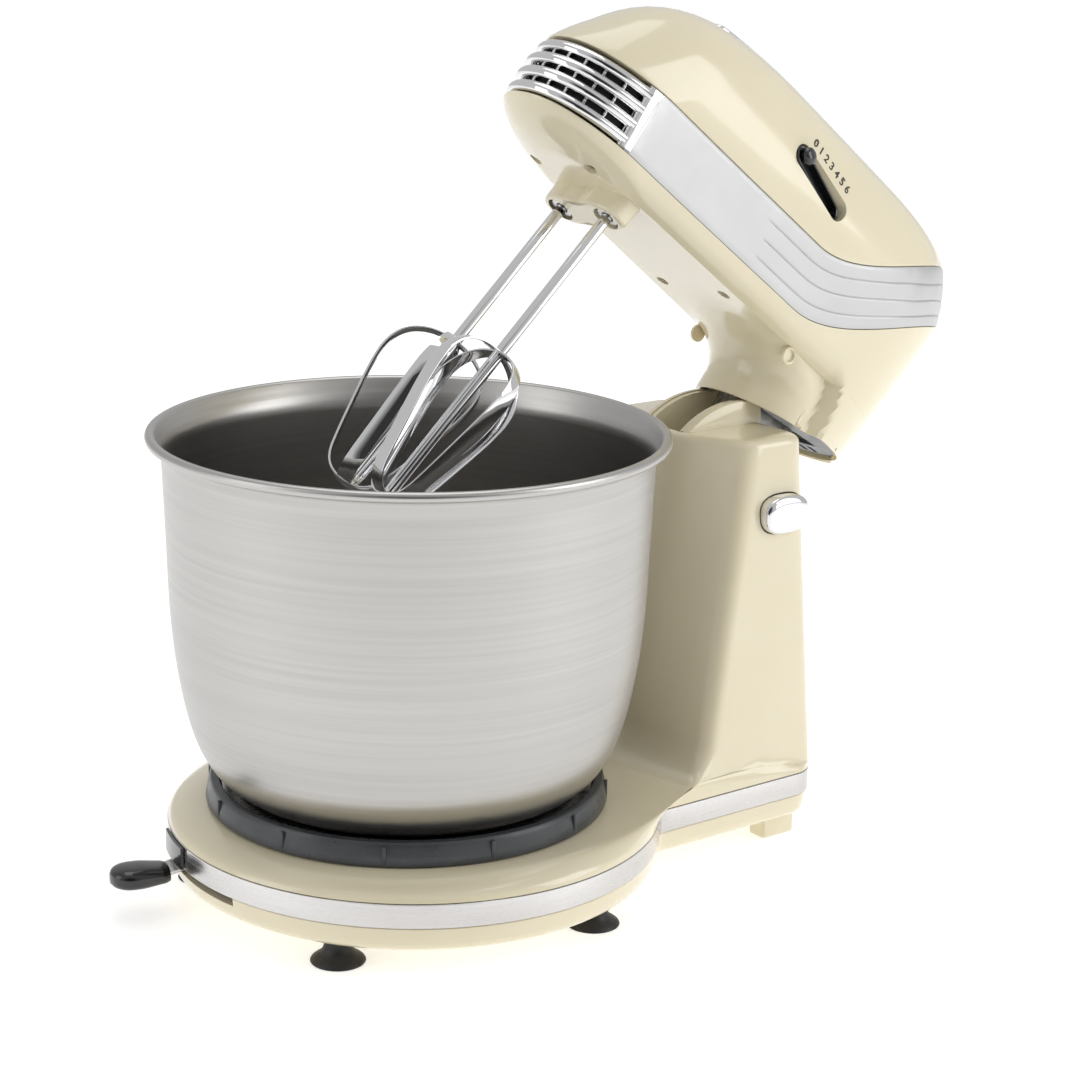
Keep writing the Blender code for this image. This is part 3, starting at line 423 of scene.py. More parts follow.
# ---- Trim band --------------------------------------------------------------
# Bright strip of plated plastic, bent round the base and clamped between the
# cover and the tray. Its face is brushed along its length.
plated = new_look("plated_band", 0.24, 1.0)
tone(plated, grain(plated, 9.0, (1, 1, 6)), (0.60, 0.58, 0.57), (0.70, 0.69, 0.68))
vary_rough(plated, grain(plated, 40.0, (1, 1, 30), 4.0), 0.16, 0.32)
bump(plated, grain(plated, 90.0, (0.4, 0.4, 40), 2.0), 0.12, 0.0001)
band_rings = [mirrored(base_half(inset, z)) for inset, z in
              ((0.1, 21.65), (-0.2, 21.85), (-0.3, 22.4), (-0.3, 26.0), (-0.3, 30.8), (-0.2, 31.4), (0.1, 31.6),
               (2.1, 31.6), (2.2, 26.0), (2.1, 21.65))]
base_band = skin("trim_band", band_rings, BASE_PLACE, loop=True)
wear(base_band, "base", plated, "silver_plastic", "base_band")


# ---- Suction feet -----------------------------------------------------------
# Soft black rubber cups, moulded with a thin lip that grips the worktop and a
# neck pressed up into the tray.
rubber = new_look("black_rubber_look", 0.5, 0.0, (0.012, 0.012, 0.013))
vary_rough(rubber, grain(rubber, 300.0), 0.42, 0.6)
bump(rubber, grain(rubber, 1200.0), 0.1, 0.0002)
CUP = ((9.0, 1.4), (10.2, 0.25), (10.8, 0.0), (11.0, 0.35), (10.7, 1.0), (9.6, 1.9), (8.2, 2.8), (6.9, 3.9),
       (6.1, 5.2), (5.6, 6.8), (5.4, 8.2), (5.4, 9.6))
for where, (x, y) in {"front_right": (-68.0, -51.0), "front_left": (-68.0, 51.0),
                      "middle_right": (36.0, -80.5), "middle_left": (36.0, 80.5)}.items():
    cup = turned(f"cup_{where}", CUP, BASE_PLACE @ Matrix.Translation((x * 0.001, y * 0.001, 0)), 48)
    wear(cup, "base", rubber, "black_rubber", f"suction_foot_{where}")


# ---- Bowl seat --------------------------------------------------------------
# Dark grey nylon ring with a bayonet for the bowl's foot. Short ribs stand on
# its outside, and it turns on a hub of the same nylon.
nylon = new_look("dark_grey_nylon", 0.32)
tone(nylon, grain(nylon, 60.0), (0.036, 0.041, 0.046), (0.050, 0.055, 0.060))
vary_rough(nylon, grain(nylon, 180.0), 0.26, 0.40)
bump(nylon, grain(nylon, 1500.0, detail=2.0), 0.08, 0.0002)
SEAT = ((62.0, 39.6), (82.6, 39.6), (83.2, 39.9), (83.4, 40.6), (82.9, 44.0), (82.2, 47.2), (81.8, 48.6),
        (81.2, 49.2), (80.4, 49.3), (78.4, 49.3), (77.9, 49.0), (77.7, 48.4), (77.6, 43.0), (77.2, 42.6),
        (62.0, 42.2))
seat = turned("bowl_seat", SEAT, BASE_PLACE, 144, loop=True)
wear(seat, "seat_ring", nylon, "dark_grey_plastic", "seat_ring")
for i in range(12):
    turn = math.radians(19.0 + 30.0 * i)
    place = BASE_PLACE @ Matrix.Rotation(turn, 4, "Z") @ Matrix.Translation((0.0829, 0, 0.0442))
    rib = slab(f"seat_rib_{i + 1}", (-1.6, -0.8, -3.6), (0.55, 0.8, 3.9), place, 0.3, 2)
    wear(rib, "seat_ring", nylon, "dark_grey_plastic")
refinish(nylon, "turntable_hub")


# ---- Shift lever ------------------------------------------------------------
# Spring-steel strap fixed under the seat, with a glossy black grip pushed over
# its end and a black escutcheon set in the band above it.
steel = new_look("drawn_steel", 0.28, 1.0)
tone(steel, grain(steel, 50.0, (1, 1, 8)), (0.50, 0.49, 0.48), (0.62, 0.61, 0.60))
vary_rough(steel, grain(steel, 120.0, (1, 8, 1)), 0.2, 0.36)
black = new_look("black_gloss", 0.14, 0.0, (0.009, 0.009, 0.010))
shader_of(black).inputs["Coat Weight"].default_value = 0.5
vary_rough(black, grain(black, 90.0), 0.10, 0.22)
bump(black, grain(black, 900.0), 0.04, 0.0001)
LEVER_PLACE = BASE_PLACE @ Matrix.Rotation(math.radians(-16.5), 4, "Z")
grip_rings = []
for k in range(21):
    t = k / 20
    x = -102.2 - 23.6 * t
    end = math.sqrt(max(1 - max((t - 0.62) / 0.385, 0) ** 2.2, 0.0))
    start = min(1.0, 0.86 + t * 2)
    wide = (7.5 + 1.4 * ease(t * 1.6)) * end * start
    tall = (3.5 + 1.1 * ease(t * 2)) * (0.35 + 0.65 * end) * start
    ring = []
    for i in range(32):
        a = 2 * math.pi * i / 32 + math.pi / 2
        c, s = math.cos(a), math.sin(a)
        ring.append((x, max(wide, 0.4) * math.copysign(abs(c) ** 0.72, c),
                     16.9 + tall * math.copysign(abs(s) ** 0.72, s)))
    grip_rings.append(ring)
grip = skin("lever_grip", grip_rings, LEVER_PLACE, low=True, high=True, angle=50)
wear(grip, "shift_lever", black, "black_plastic", "lever_knob")
refinish(steel, "lever_strap", "lever_screw")
refinish(black, "lever_escutcheon")


# ---- Bowl -------------------------------------------------------------------
# Deep bowl drawn from stainless sheet and brushed round on a lathe, with a
# rolled rim and a pressed foot ring that locks into the seat.
stainless = new_look("brushed_stainless", 0.27, 1.0)
around = stainless.node_tree.nodes.new("ShaderNodeTangent")
around.direction_type = "RADIAL"
around.axis = "Z"
shader_of(stainless).inputs["Anisotropic"].default_value = 0.6
stainless.node_tree.links.new(around.outputs["Tangent"], shader_of(stainless).inputs["Tangent"])
tone(stainless, grain(stainless, 30.0, (0.25, 0.25, 22), 5.0), (0.475, 0.465, 0.452), (0.525, 0.515, 0.50))
vary_rough(stainless, grain(stainless, 60.0, (0.3, 0.3, 40), 4.0), 0.29, 0.34)
bump(stainless, grain(stainless, 90.0, (0.1, 0.1, 16), 3.0), 0.025, 0.00005)
WALL = ((64.0, 45.0), (72.0, 48.3), (78.5, 53.0), (83.2, 59.0), (87.4, 67.5), (90.6, 78.0), (93.3, 91.0),
        (95.6, 107.0), (97.0, 124.0), (98.2, 157.0), (99.3, 184.0))


def smoothed(points, steps):
    """More points on a smooth line through the given ones, by running length."""
    length = [0.0]
    for a, b in zip(points, points[1:]):
        length.append(length[-1] + math.dist(a, b))
    xs = [(s, p[0]) for s, p in zip(length, points)]
    zs = [(s, p[1]) for s, p in zip(length, points)]
    total = length[-1]
    return [(curve(xs, total * i / steps), curve(zs, total * i / steps)) for i in range(steps + 1)]


outside = [(0.0, 43.8), (54.0, 43.8)] + smoothed(WALL, 48) + [(99.9, 187.6), (100.9, 189.6)]
rim = []
for i in range(17):
    turn = math.radians(-125.0 + 275.0 * i / 16)
    rim.append((103.6 + 2.1 * math.cos(turn), 192.8 + 2.1 * math.sin(turn)))
inside = [(r - 1.0, z + 0.3) for r, z in smoothed(WALL, 48)][::-1] + [(54.0, 44.8), (0.0, 44.8)]
bowl_profile = [(max(r, 0.05), z) for r, z in outside + rim + [(101.2, 191.4), (99.6, 189.0)] + inside]
bowl = turned("steel_bowl", bowl_profile, BASE_PLACE, 160)
wear(bowl, "bowl", stainless, "brushed_steel", "bowl")
refinish(steel, "bowl_foot_ring")


# ---- Release button ---------------------------------------------------------
# Oval plated button in the column's right side. Pressing it frees the head.
chrome = new_look("polished_chrome", 0.05, 1.0, (0.78, 0.78, 0.79))
vary_rough(chrome, grain(chrome, 35.0, detail=4.0), 0.03, 0.09)
BUTTON_X, BUTTON_Z = 161.0, 147.0
button_rings = []
for shrink, y in ((4.5, -54.0), (3.0, -53.9), (1.8, -53.6), (0.8, -53.1), (0.2, -52.4), (0.0, -51.6),
                  (0.0, -43.0)):
    ring = []
    for i in range(64):
        a = 2 * math.pi * i / 64 + math.pi
        c, s = math.cos(a), math.sin(a)
        ring.append((BUTTON_X + (12.3 - shrink) * math.copysign(abs(c) ** 0.75, c), y,
                     BUTTON_Z + (8.4 - shrink) * math.copysign(abs(s) ** 0.75, s)))
    button_rings.append(ring)
button = skin("release_cap", button_rings, BASE_PLACE, low=True, high=True)
wear(button, "release", chrome, "chrome", "release_button")
well_rings = [[(BUTTON_X + (x - BUTTON_X) * 1.04, y, BUTTON_Z + (z - BUTTON_Z) * 1.06)
               for x, _, z in button_rings[-1]] for y in (-36.0, -58.0)]
carve(cover, skin("button_tool", well_rings, BASE_PLACE, low=True, high=True))


# ---- Upper head cover -------------------------------------------------------
# Glossy cream dome over the motor, moulded thin, with an opening for the speed
# switch on its right flank and one for the ejector on its crown.
HEAD_PLACE = (BASE_PLACE @ Matrix.Translation((HINGE_X * 0.001, 0, HINGE_Z * 0.001))
              @ Matrix.Rotation(math.radians(TILT_DEG), 4, "Y"))
STRIPE_LOW, STRIPE_HIGH, CROWN = 77.3, 106.3, 159.15
NOSE_CAP, REAR_CAP = 44.0, 48.0
NOSE = ((66.3, -176.0), (68.5, -187.0), (72.5, -196.5), (77.3, -201.6), (90.0, -201.4), (105.3, -198.6),
        (115.0, -193.0), (123.3, -186.5), (134.0, -178.0), (143.3, -168.0), (151.0, -155.0), (156.5, -139.0),
        (CROWN, -118.0))
REAR = ((40.0, 37.5), (45.3, 40.4), (66.3, 44.8), (77.0, 46.6), (95.0, 49.3), (108.0, 51.2), (121.0, 53.2),
        (131.0, 53.4), (139.0, 50.6), (147.0, 44.85), (153.0, 37.6), (157.0, 26.8), (CROWN, 12.0))
FLANK = ((66.3, 0.80), (68.5, 0.90), (72.0, 0.97), (77.3, 1.0))
SKIRT = ((66.3, 0.968), (72.0, 0.985), (77.3, 1.0))
SKIRT_FRONT = ((38.0, 2.5), (54.0, 1.0), (66.5, -2.6), (72.0, -9.0), (77.0, -19.0))


def flank(x, z):
    """Share of the half width at height z: full at the band, rounded above and below it."""
    if z > STRIPE_HIGH:
        t = (z - STRIPE_HIGH) / (CROWN + 1.2 - STRIPE_HIGH)
        return max(1.0 - t ** 2.6, 0.0) ** (1 / 2.6)
    wide = ease((x - curve(SKIRT_FRONT, z) + 2.5) / 5.0)
    return curve(FLANK, z) * (1 - wide) + curve(SKIRT, z) * wide


def half_width(x):
    """Half width of the head, a little wider at the rear."""
    return 33.0 + 5.5 * ease((x + 175.0) / 190.0)


def head_point(i, z, inset):
    """Point i of the head's right half outline, from the nose round to the rear."""
    nose = curve(NOSE, z) + inset
    rear = curve(REAR, z) - inset
    if i <= 36:
        turn = math.pi / 2 * (1 + i / 36)
        x, side = nose + NOSE_CAP * (1 - math.sin(turn) ** 1.05 if i < 36 else 1.0), abs(math.cos(turn)) ** 0.92
    elif i <= 112:
        x, side = nose + NOSE_CAP + (rear - REAR_CAP - nose - NOSE_CAP) * (i - 36) / 76, 1.0
    else:
        turn = math.pi / 2 * (i - 112) / 32
        x, side = rear - REAR_CAP * (1 - math.sin(turn) ** 0.95), max(math.cos(turn), 0.0) ** 0.85
    return x, -side * max(half_width(x) * flank(x, z) - inset, 0.0), z


def stripe_high(x):
    """Upper edge of the side band, which climbs towards the rear."""
    return STRIPE_HIGH + 44.0 * ease((x + 53.6) / 100.0)


def stripe_low(x):
    """Lower edge of the side band."""
    return STRIPE_LOW + 50.0 * ease((x + 48.6) / 110.0)


def seam_point(i, seam, offset, inset):
    """Point of the outline where it crosses a seam whose height varies along the head."""
    z = STRIPE_HIGH
    for _ in range(9):
        z = seam(head_point(i, z, inset)[0]) + offset
    return head_point(i, z, inset)


def toward(seam, offset, inset, level, share):
    """Ring part of the way from a seam to a level."""
    half = []
    for i in range(145):
        start = seam_point(i, seam, offset, inset)[2]
        half.append(head_point(i, start + (level - start) * share, inset))
    return mirrored(half)


def pulled_in(ring, share, z):
    """Ring drawn towards the middle line, which closes the crown."""
    return [(x, y * share, z) for x, y, _ in ring]


dome_rings = [toward(stripe_high, 0.05, 2.2, CROWN, 0.0), toward(stripe_high, 0.05, 0.35, CROWN, 0.0),
              toward(stripe_high, 0.3, 0.05, CROWN, 0.0)]
for share in (0.02, 0.08, 0.16, 0.25, 0.34, 0.43, 0.52, 0.61, 0.69, 0.76, 0.82, 0.87, 0.91, 0.945, 0.97, 0.99,
              1.0):
    dome_rings.append(toward(stripe_high, 0.3, 0.0, CROWN, share))
dome_rings += [pulled_in(dome_rings[-1], share, CROWN) for share in (0.75, 0.5, 0.25)]
dome = skin("head_dome", dome_rings, HEAD_PLACE, low=True, high=True, angle=40)

SLOPE = math.radians(15.0)
slot_x = Vector((math.cos(SLOPE), 0.0, -math.sin(SLOPE)))
slot_z = Vector((0.0, -0.92, 0.39))
slot_z = (slot_z - slot_x * slot_z.dot(slot_x)).normalized()
slot_turn = Matrix((slot_x, slot_z.cross(slot_x), slot_z)).transposed().to_4x4()
SLOT_PLACE = HEAD_PLACE @ Matrix.Translation((-0.0695, -0.033, 0.127)) @ slot_turn


def stadium(half, run, z):
    """Round-ended outline, its first point at the front end."""
    ring = []
    for i in range(33):
        turn = math.pi / 2 + math.pi * i / 32
        ring.append((-run + half * math.cos(turn), half * math.sin(turn), z))
    for i in range(33):
        turn = -math.pi / 2 + math.pi * i / 32
        ring.append((run + half * math.cos(turn), half * math.sin(turn), z))
    return ring[16:] + ring[:16]


slot_tool = skin("speed_slot_tool", [stadium(4.9, 15.5, -7.0), stadium(4.9, 15.5, 12.0)], SLOT_PLACE, True, True)
carve(dome, slot_tool)
carve(dome, slab("ejector_tool", (-138.5, -8.6, 148.0), (-107.5, 8.6, 170.0), HEAD_PLACE, 0.6))
wear(dome, "head", cream, "cream_plastic", "head_upper_shell")


# ---- Lower head cover and neck ----------------------------------------------
# Cream moulding under the motor. It runs down into a slim hollow neck with a
# wider skirt behind, and carries the sockets of the beaters under its nose.
NECK_FRONT = ((38.8, -33.0), (49.8, -31.6), (56.0, -34.5), (61.0, -40.0), (64.5, -48.0), (66.3, -57.0))
NECK_SLIM, NECK_WIDE = 30.0, 37.2
under = [head_point(i, 66.3, 0.0) for i in range(145)]


def neck_low(x):
    """Height of the neck's sloping rim."""
    return 38.8 + 0.1 * (x + 33.6)


def neck_half(z, drop=0.0, inset=0.0):
    """Right half of the neck's outline; drop takes it part of the way down to the sloping rim."""
    front = curve(NECK_FRONT, z) + inset
    end = front + NECK_SLIM
    turn_end = max(k for k in range(113) if under[k][0] <= max(end, under[97][0]))
    half = []
    for i in range(145):
        if i <= turn_end:
            turn = math.pi / 2 * i / turn_end
            x = front + (under[turn_end][0] - front) * (1 - math.cos(turn))
            y = -(NECK_SLIM - inset) * math.sin(turn)
        elif i <= 112:
            x, y = under[i][0], -(NECK_SLIM - inset)
        else:
            x, y, _ = head_point(i, z, inset)
        wide = ease((x - curve(SKIRT_FRONT, z) + 2.5) / 5.0) if i > 96 else 0.0
        if i <= 112:
            y = y * (1 - wide) - (NECK_WIDE - inset) * wide
        else:
            side = y / max(half_width(x) * flank(x, z) - inset, 1e-6)
            y = side * (NECK_SLIM * (1 - wide) + NECK_WIDE * wide - inset)
        level = z + (neck_low(x) - z) * drop
        half.append((x, y, level))
    return half


hull_rings = [toward(stripe_low, -0.35, 0.0, 66.3, share) for share in
              (0.0, 0.12, 0.25, 0.38, 0.5, 0.6, 0.7, 0.78, 0.85, 0.91, 0.95, 0.98, 1.0)]
neck_top = mirrored(neck_half(66.3))
last = hull_rings[-1]
for share in (0.04, 0.3, 0.6, 0.85, 1.0):
    hull_rings.append([tuple(a + (b - a) * share for a, b in zip(p, q)) for p, q in zip(last, neck_top)])
for z in (65.9, 65.3, 64.5, 63.4, 62.0, 60.2, 58.0, 55.5, 52.5, 49.0, 46.0):
    hull_rings.append(mirrored(neck_half(z)))
for drop in (0.35, 0.7, 0.93, 1.0):
    hull_rings.append(mirrored(neck_half(46.0, drop, 0.4 if drop == 1.0 else 0.0)))
hull = skin("head_hull", hull_rings, HEAD_PLACE, angle=50)
thick = hull.modifiers.new("wall", "SOLIDIFY")
thick.thickness = 0.0022
thick.offset = -1.0
apply_all(hull)
smooth_by_angle(hull, 50)


def head_rod(name, radius, start, end, centre, lean=0.0):
    """Round tool in the head's frame, leaned about Y."""
    place = HEAD_PLACE @ Matrix.Translation(Vector(centre) * 0.001) @ Matrix.Rotation(math.radians(lean), 4, "Y")
    return turned(name, ((radius, start), (radius, end)), place, 40)


LEAN = 8.6
SOCKET_X, SOCKET_Y, SOCKET_Z = -143.0, 15.0, 56.8
SOCKET_PLACE = (HEAD_PLACE @ Matrix.Translation((SOCKET_X * 0.001, 0, SOCKET_Z * 0.001))
                @ Matrix.Rotation(math.radians(LEAN), 4, "Y"))


def boss_ring(grow, z):
    """Outline of the bridge that joins the two sockets, slimmer in the middle."""
    ring = []
    for i in range(96):
        a = 2 * math.pi * i / 96 + math.pi
        y = (SOCKET_Y + 9.0 + grow) * math.copysign(abs(math.sin(a)) ** 0.8, math.sin(a))
        waist = 1.0 - 0.30 * math.exp(-(y / 6.0) ** 2)
        ring.append(((9.2 + grow) * waist * math.copysign(abs(math.cos(a)) ** 0.7, math.cos(a)), y, z))
    return ring


BRIDGE = ((-1.6, 0.0), (-0.6, 0.25), (0.0, 1.1), (0.2, 8.0), (1.0, 12.0), (2.6, 15.0), (4.0, 17.5))
boss = skin("socket_bridge", [boss_ring(grow, z) for grow, z in BRIDGE], SOCKET_PLACE, True, True)
carve(hull, boss, "UNION")
carve(hull, head_rod("cord_hole_tool", 5.35, 30.0, 60.0, (0, 0, 58), 90.0))
for side in (-1, 1):
    carve(hull, head_rod("socket_tool", 6.2, -4.0, 26.0, (SOCKET_X, side * SOCKET_Y, SOCKET_Z), LEAN))
SCREW_HOLES = ((-165.0, -18.0), (-165.0, 18.0), (-72.0, -20.0), (-72.0, 20.0))
for x, y in SCREW_HOLES:
    carve(hull, head_rod("screw_tool", 3.0, 55.0, 69.5, (x, y, 0)))
wear(hull, "head", cream, "cream_plastic", "head_lower_shell")
bpy.ops.object.select_all(action="DESELECT")

# Counterbored screw wells in the flanks of the neck, moulded shut behind the screw.
for side in (-1, 1):
    place = (HEAD_PLACE @ Matrix.Translation((-0.031, side * 0.0302, 0.063))
             @ Matrix.Rotation(math.radians(-90.0 * side), 4, "X"))
    ring_profile = ((3.9, -1.0), (3.9, 0.15), (3.5, 0.45), (3.0, 0.3), (2.8, -0.4), (2.7, -0.9), (0.05, -0.95))
    well = turned(f"neck_screw_well_{'right' if side < 0 else 'left'}", ring_profile, place, 40)
    wear(well, "head", cream, "cream_plastic")


# ---- Side band --------------------------------------------------------------
# Silver-painted strip that wraps the head between the covers. It starts at the
# grille, climbs towards the rear, and has three fine scored lines.
satin = new_look("silver_paint", 0.34, 0.55)
tone(satin, grain(satin, 14.0, detail=5.0), (0.53, 0.53, 0.53), (0.62, 0.62, 0.62))
vary_rough(satin, grain(satin, 140.0, detail=5.0), 0.28, 0.42)
bump(satin, grain(satin, 220.0, detail=4.0), 0.10, 0.0002)
BAND_FRONT = -162.6
LINES = ((0.20, -81.0), (0.475, -82.5), (0.75, -84.5))


def scored(x, share):
    """Depth of the scored lines at a point of the band."""
    depth = 0.0
    for height, start in LINES:
        depth += 0.42 * ease((x - start) / 1.5) * math.exp(-((share - height) / 0.011) ** 2)
    return depth


def band_half(share, inset):
    """Right half of one row of the band, flattened a little at the rear."""
    half = []
    for i in range(145):
        low_z = seam_point(i, stripe_low, 0.0, inset)[2]
        high_z = seam_point(i, stripe_high, -0.3, inset)[2]
        z = low_z + (high_z - low_z) * share
        x, y, z = head_point(i, z, inset)
        cutback = scored(x, share) + 1.55 * math.sin(math.pi * share) * ease((x - 5.0) / 35.0)
        half.append(head_point(i, z, inset + cutback))
    return half


shares = [0.0, 0.012]
for height, _ in LINES:
    shares += [height + step for step in (-0.03, -0.018, -0.010, 0.0, 0.010, 0.018, 0.03)]
shares += [0.10, 0.33, 0.40, 0.55, 0.62, 0.69, 0.86, 0.93, 0.988, 1.0]
shares = sorted(shares)
BAND_FIRST = 30


def band_row(share, inset):
    """Row along the band from the grille on the right side, round the rear, to the left side."""
    half = band_half(share, inset)[BAND_FIRST:]
    x, y, z = half[0]
    half[0] = (BAND_FRONT, y, z)
    return half + [(a, -b, c) for a, b, c in half[-2::-1]]


rows = [band_row(s, 0.28 if s in (0.0, 1.0) else 0.06) for s in shares]
rows += [band_row(s, 2.4) for s in (1.0, 0.5, 0.0)]
stripe = strip("side_stripe", rows, HEAD_PLACE, split=True)
smooth_by_angle(stripe, 40)
wear(stripe, "head", satin, "silver_plastic", "side_band")


# ---- Nose grille ------------------------------------------------------------
# Chromed plastic moulding: four rounded bars that wrap the nose and meet in a
# flat end at each side. Short posts tie the bars, and a dark liner sits behind.
PITCH = (STRIPE_HIGH - STRIPE_LOW - 0.3) / 4


def bar_path(z, inset):
    """Points round the nose at one height, from the right end to the left end."""
    half = [head_point(i, z, inset) for i in range(37)]
    keep = [p for p in half if p[0] < -171.0]
    keep.append((-168.0, -(half_width(-168.0) * flank(-168.0, z) - inset) * 0.985, z))
    return keep[::-1] + [(a, -b, c) for a, b, c in keep[1:]]


bar_section = [(2.9, -2.35), (0.9, -2.35), (0.15, -1.7), (-0.35, -0.7), (-0.45, 0.0), (-0.35, 0.7), (0.15, 1.7),
               (0.9, 2.35), (2.9, 2.35)]
for bar in range(4):
    middle = STRIPE_LOW + PITCH * (bar + 0.5)
    rows = [bar_path(middle + dz, inset) for inset, dz in bar_section]
    rows = [[row[round(i * (len(row) - 1) / 56)] for i in range(57)] for row in rows]
    piece = strip(f"grille_bar_{bar + 1}", rows, HEAD_PLACE)
    smooth_by_angle(piece, 50)
    wear(piece, "head", chrome, "chrome", *(("nose_grille",) if bar == 0 else ()))


def end_plate(side):
    """Chromed end of the grille, rounded into the side of the head."""
    rows = []
    for inset, grow in ((3.0, 0.0), (0.4, 0.0), (-0.2, -0.5), (-0.42, -1.2)):
        row = []
        for z0 in (STRIPE_LOW + 0.15 - grow * 0.4, STRIPE_LOW + 8.0, STRIPE_LOW + 15.0, STRIPE_LOW + 22.0,
                   STRIPE_HIGH - 0.45 + grow * 0.4):
            for x in (-169.6 - grow * 0.6, -167.5, -165.5, -163.2 + grow * 0.5):
                y = half_width(x) * flank(x, z0) * nose_share(x, z0) - inset
                row.append((x, side * y, z0))
        rows.append(row)
    return rows


def nose_share(x, z):
    """Share of the half width that the nose's rounding leaves at x."""
    run = (x - curve(NOSE, z)) / NOSE_CAP
    if run >= 1.0:
        return 1.0
    sine = max(1.0 - run, 0.0) ** (1 / 1.05)
    return max(1.0 - sine ** 2, 0.0) ** 0.46


for side in (-1, 1):
    rows = end_plate(side)
    points = [HEAD_PLACE @ (Vector(p) * 0.001) for row in rows for p in row]
    faces = []

    def grid(base, flip):
        for r in range(4):
            for c in range(3):
                a = base + r * 4 + c
                quad = (a, a + 1, a + 5, a + 4)
                faces.append(quad[::-1] if flip else quad)

    grid(0, False)
    grid(60, True)
    border = [0, 1, 2, 3, 7, 11, 15, 19, 18, 17, 16, 12, 8, 4]
    for k in range(3):
        for a, b in zip(border, border[1:] + border[:1]):
            faces.append((k * 20 + a, k * 20 + b, (k + 1) * 20 + b, (k + 1) * 20 + a))
    piece = from_faces(f"grille_end_{'right' if side < 0 else 'left'}", points, faces)
    smooth_by_angle(piece, 35)
    wear(piece, "head", chrome, "chrome")

for gap in range(3):
    z = STRIPE_LOW + PITCH * (gap + 1)
    for i in range(-5, 6):
        turn = math.radians(90.0 + 14.5 * i)
        x = curve(NOSE, z) + NOSE_CAP * (1 - math.sin(turn) ** 1.05)
        y = math.copysign(abs(math.cos(turn)) ** 0.92, math.cos(turn)) * half_width(x)
        out = Vector((-math.sin(turn) * 0.75, math.cos(turn), 0)).normalized()
        spot = Vector((x, y, z)) - out * 3.0
        heading = math.atan2(out.y, out.x)
        place = HEAD_PLACE @ Matrix.Translation(spot * 0.001) @ Matrix.Rotation(heading, 4, "Z")
        post = slab(f"grille_post_{gap + 1}_{i + 6}", (-0.9, -0.6, -1.8), (0.9, 0.6, 1.8), place, 0.25, 2)
        wear(post, "head", chrome, "chrome")
liner = new_look("dark_liner", 0.5, 0.0, (0.02, 0.02, 0.022))
bump(liner, grain(liner, 800.0), 0.1, 0.0002)
refinish(liner, "grille_backing")


# ---- Speed switch -----------------------------------------------------------
# Black sliding switch in a recessed tray on the right flank. The seven settings
# are printed above it in black.
recess = skin("switch_tray", [stadium(4.3, 15.3, -6.4), stadium(4.45, 15.45, -6.2), stadium(4.45, 15.45, 0.2),
                              stadium(4.1, 15.2, 0.6), stadium(3.7, 15.0, 0.3), stadium(3.5, 15.0, -3.5)],
              SLOT_PLACE, True, True, angle=40)
wear(recess, "head", black, "black_plastic", "speed_recess")
knob_profile = ((2.4, -3.0), (2.6, -2.0), (2.8, 0.9), (3.6, 1.7), (3.9, 2.5), (3.9, 3.3), (3.5, 4.2), (2.6, 4.85),
                (1.5, 5.1), (0.05, 5.15))
knob = turned("switch_knob", knob_profile, SLOT_PLACE @ Matrix.Translation((-0.0145, 0, 0)), 48)
wear(knob, "speed_knob", black, "black_plastic", "speed_knob")
ink = new_look("printed_ink", 0.35, 0.0, (0.03, 0.028, 0.025))
for i in range(7):
    bpy.ops.object.text_add()
    digit = bpy.context.active_object
    digit.data.body = str(i)
    digit.data.size = 0.0055
    digit.data.offset = 0.0001
    digit.data.align_x = "CENTER"
    digit.data.extrude = 0.00006
    digit.data.resolution_u = 3
    bpy.ops.object.convert(target="MESH")
    digit = bpy.context.active_object
    digit.name = f"speed_mark_{i}"
    digit.select_set(False)
    along = -13.5 + 4.4 * i
    spot = SLOT_PLACE @ Vector((along * 0.001, 0.0082, 0.02))
    down = (SLOT_PLACE.to_3x3() @ Vector((0, 0, -1))).normalized()
    hit, where, normal, _ = dome.ray_cast(spot, down)
    side_axis = SLOT_PLACE.to_3x3() @ Vector((1, 0, 0))
    up_axis = normal.cross(side_axis).normalized()
    side_axis = up_axis.cross(normal)
    turn = Matrix((side_axis, up_axis, normal)).transposed().to_4x4()
    digit.data.transform(Matrix.Translation(where + normal * 0.00003) @ turn)
    digit.matrix_world = Matrix()
    wear(digit, "head", ink, "black_plastic")


# ---- Ejector ----------------------------------------------------------------
# Chromed push button on the crown that drives the beaters out of their sockets.
eject_rings = []
for shrink, lift in ((0.0, -6.0), (0.0, -0.9), (0.25, -0.4), (0.8, 0.0), (2.0, 0.25), (4.0, 0.35)):
    ring = []
    for i in range(64):
        a = 2 * math.pi * i / 64 + math.pi
        c, s = math.cos(a), math.sin(a)
        x = -123.0 + (14.9 - shrink) * math.copysign(abs(c) ** 0.35, c)
        y = (8.1 - shrink) * math.copysign(abs(s) ** 0.35, s)
        top = 157.6 + 2.3 * ease((x + 140.0) / 28.0)
        ring.append((x, y, top + lift))
    eject_rings.append(ring)
eject = skin("eject_cap", eject_rings, HEAD_PLACE, True, True, angle=40)
wear(eject, "ejector", chrome, "chrome", "eject_button")


# ---- Beaters ----------------------------------------------------------------
# Each beater is a drawn steel shaft with two flat strips bent into loops,
# crossed at right angles, welded at the tip and chromed.
STRIP_WIDTH = 7.0
LOOP = ((0.6, -73.4), (5.0, -73.8), (9.5, -74.8), (14.0, -76.8), (18.0, -79.9), (20.8, -84.0), (22.2, -88.6),
        (22.5, -93.0), (22.0, -99.0), (20.6, -107.0), (18.6, -116.0), (16.3, -126.0), (13.8, -136.0),
        (12.3, -141.0), (10.0, -144.9), (6.8, -147.4), (3.2, -148.5), (0.0, -148.8))


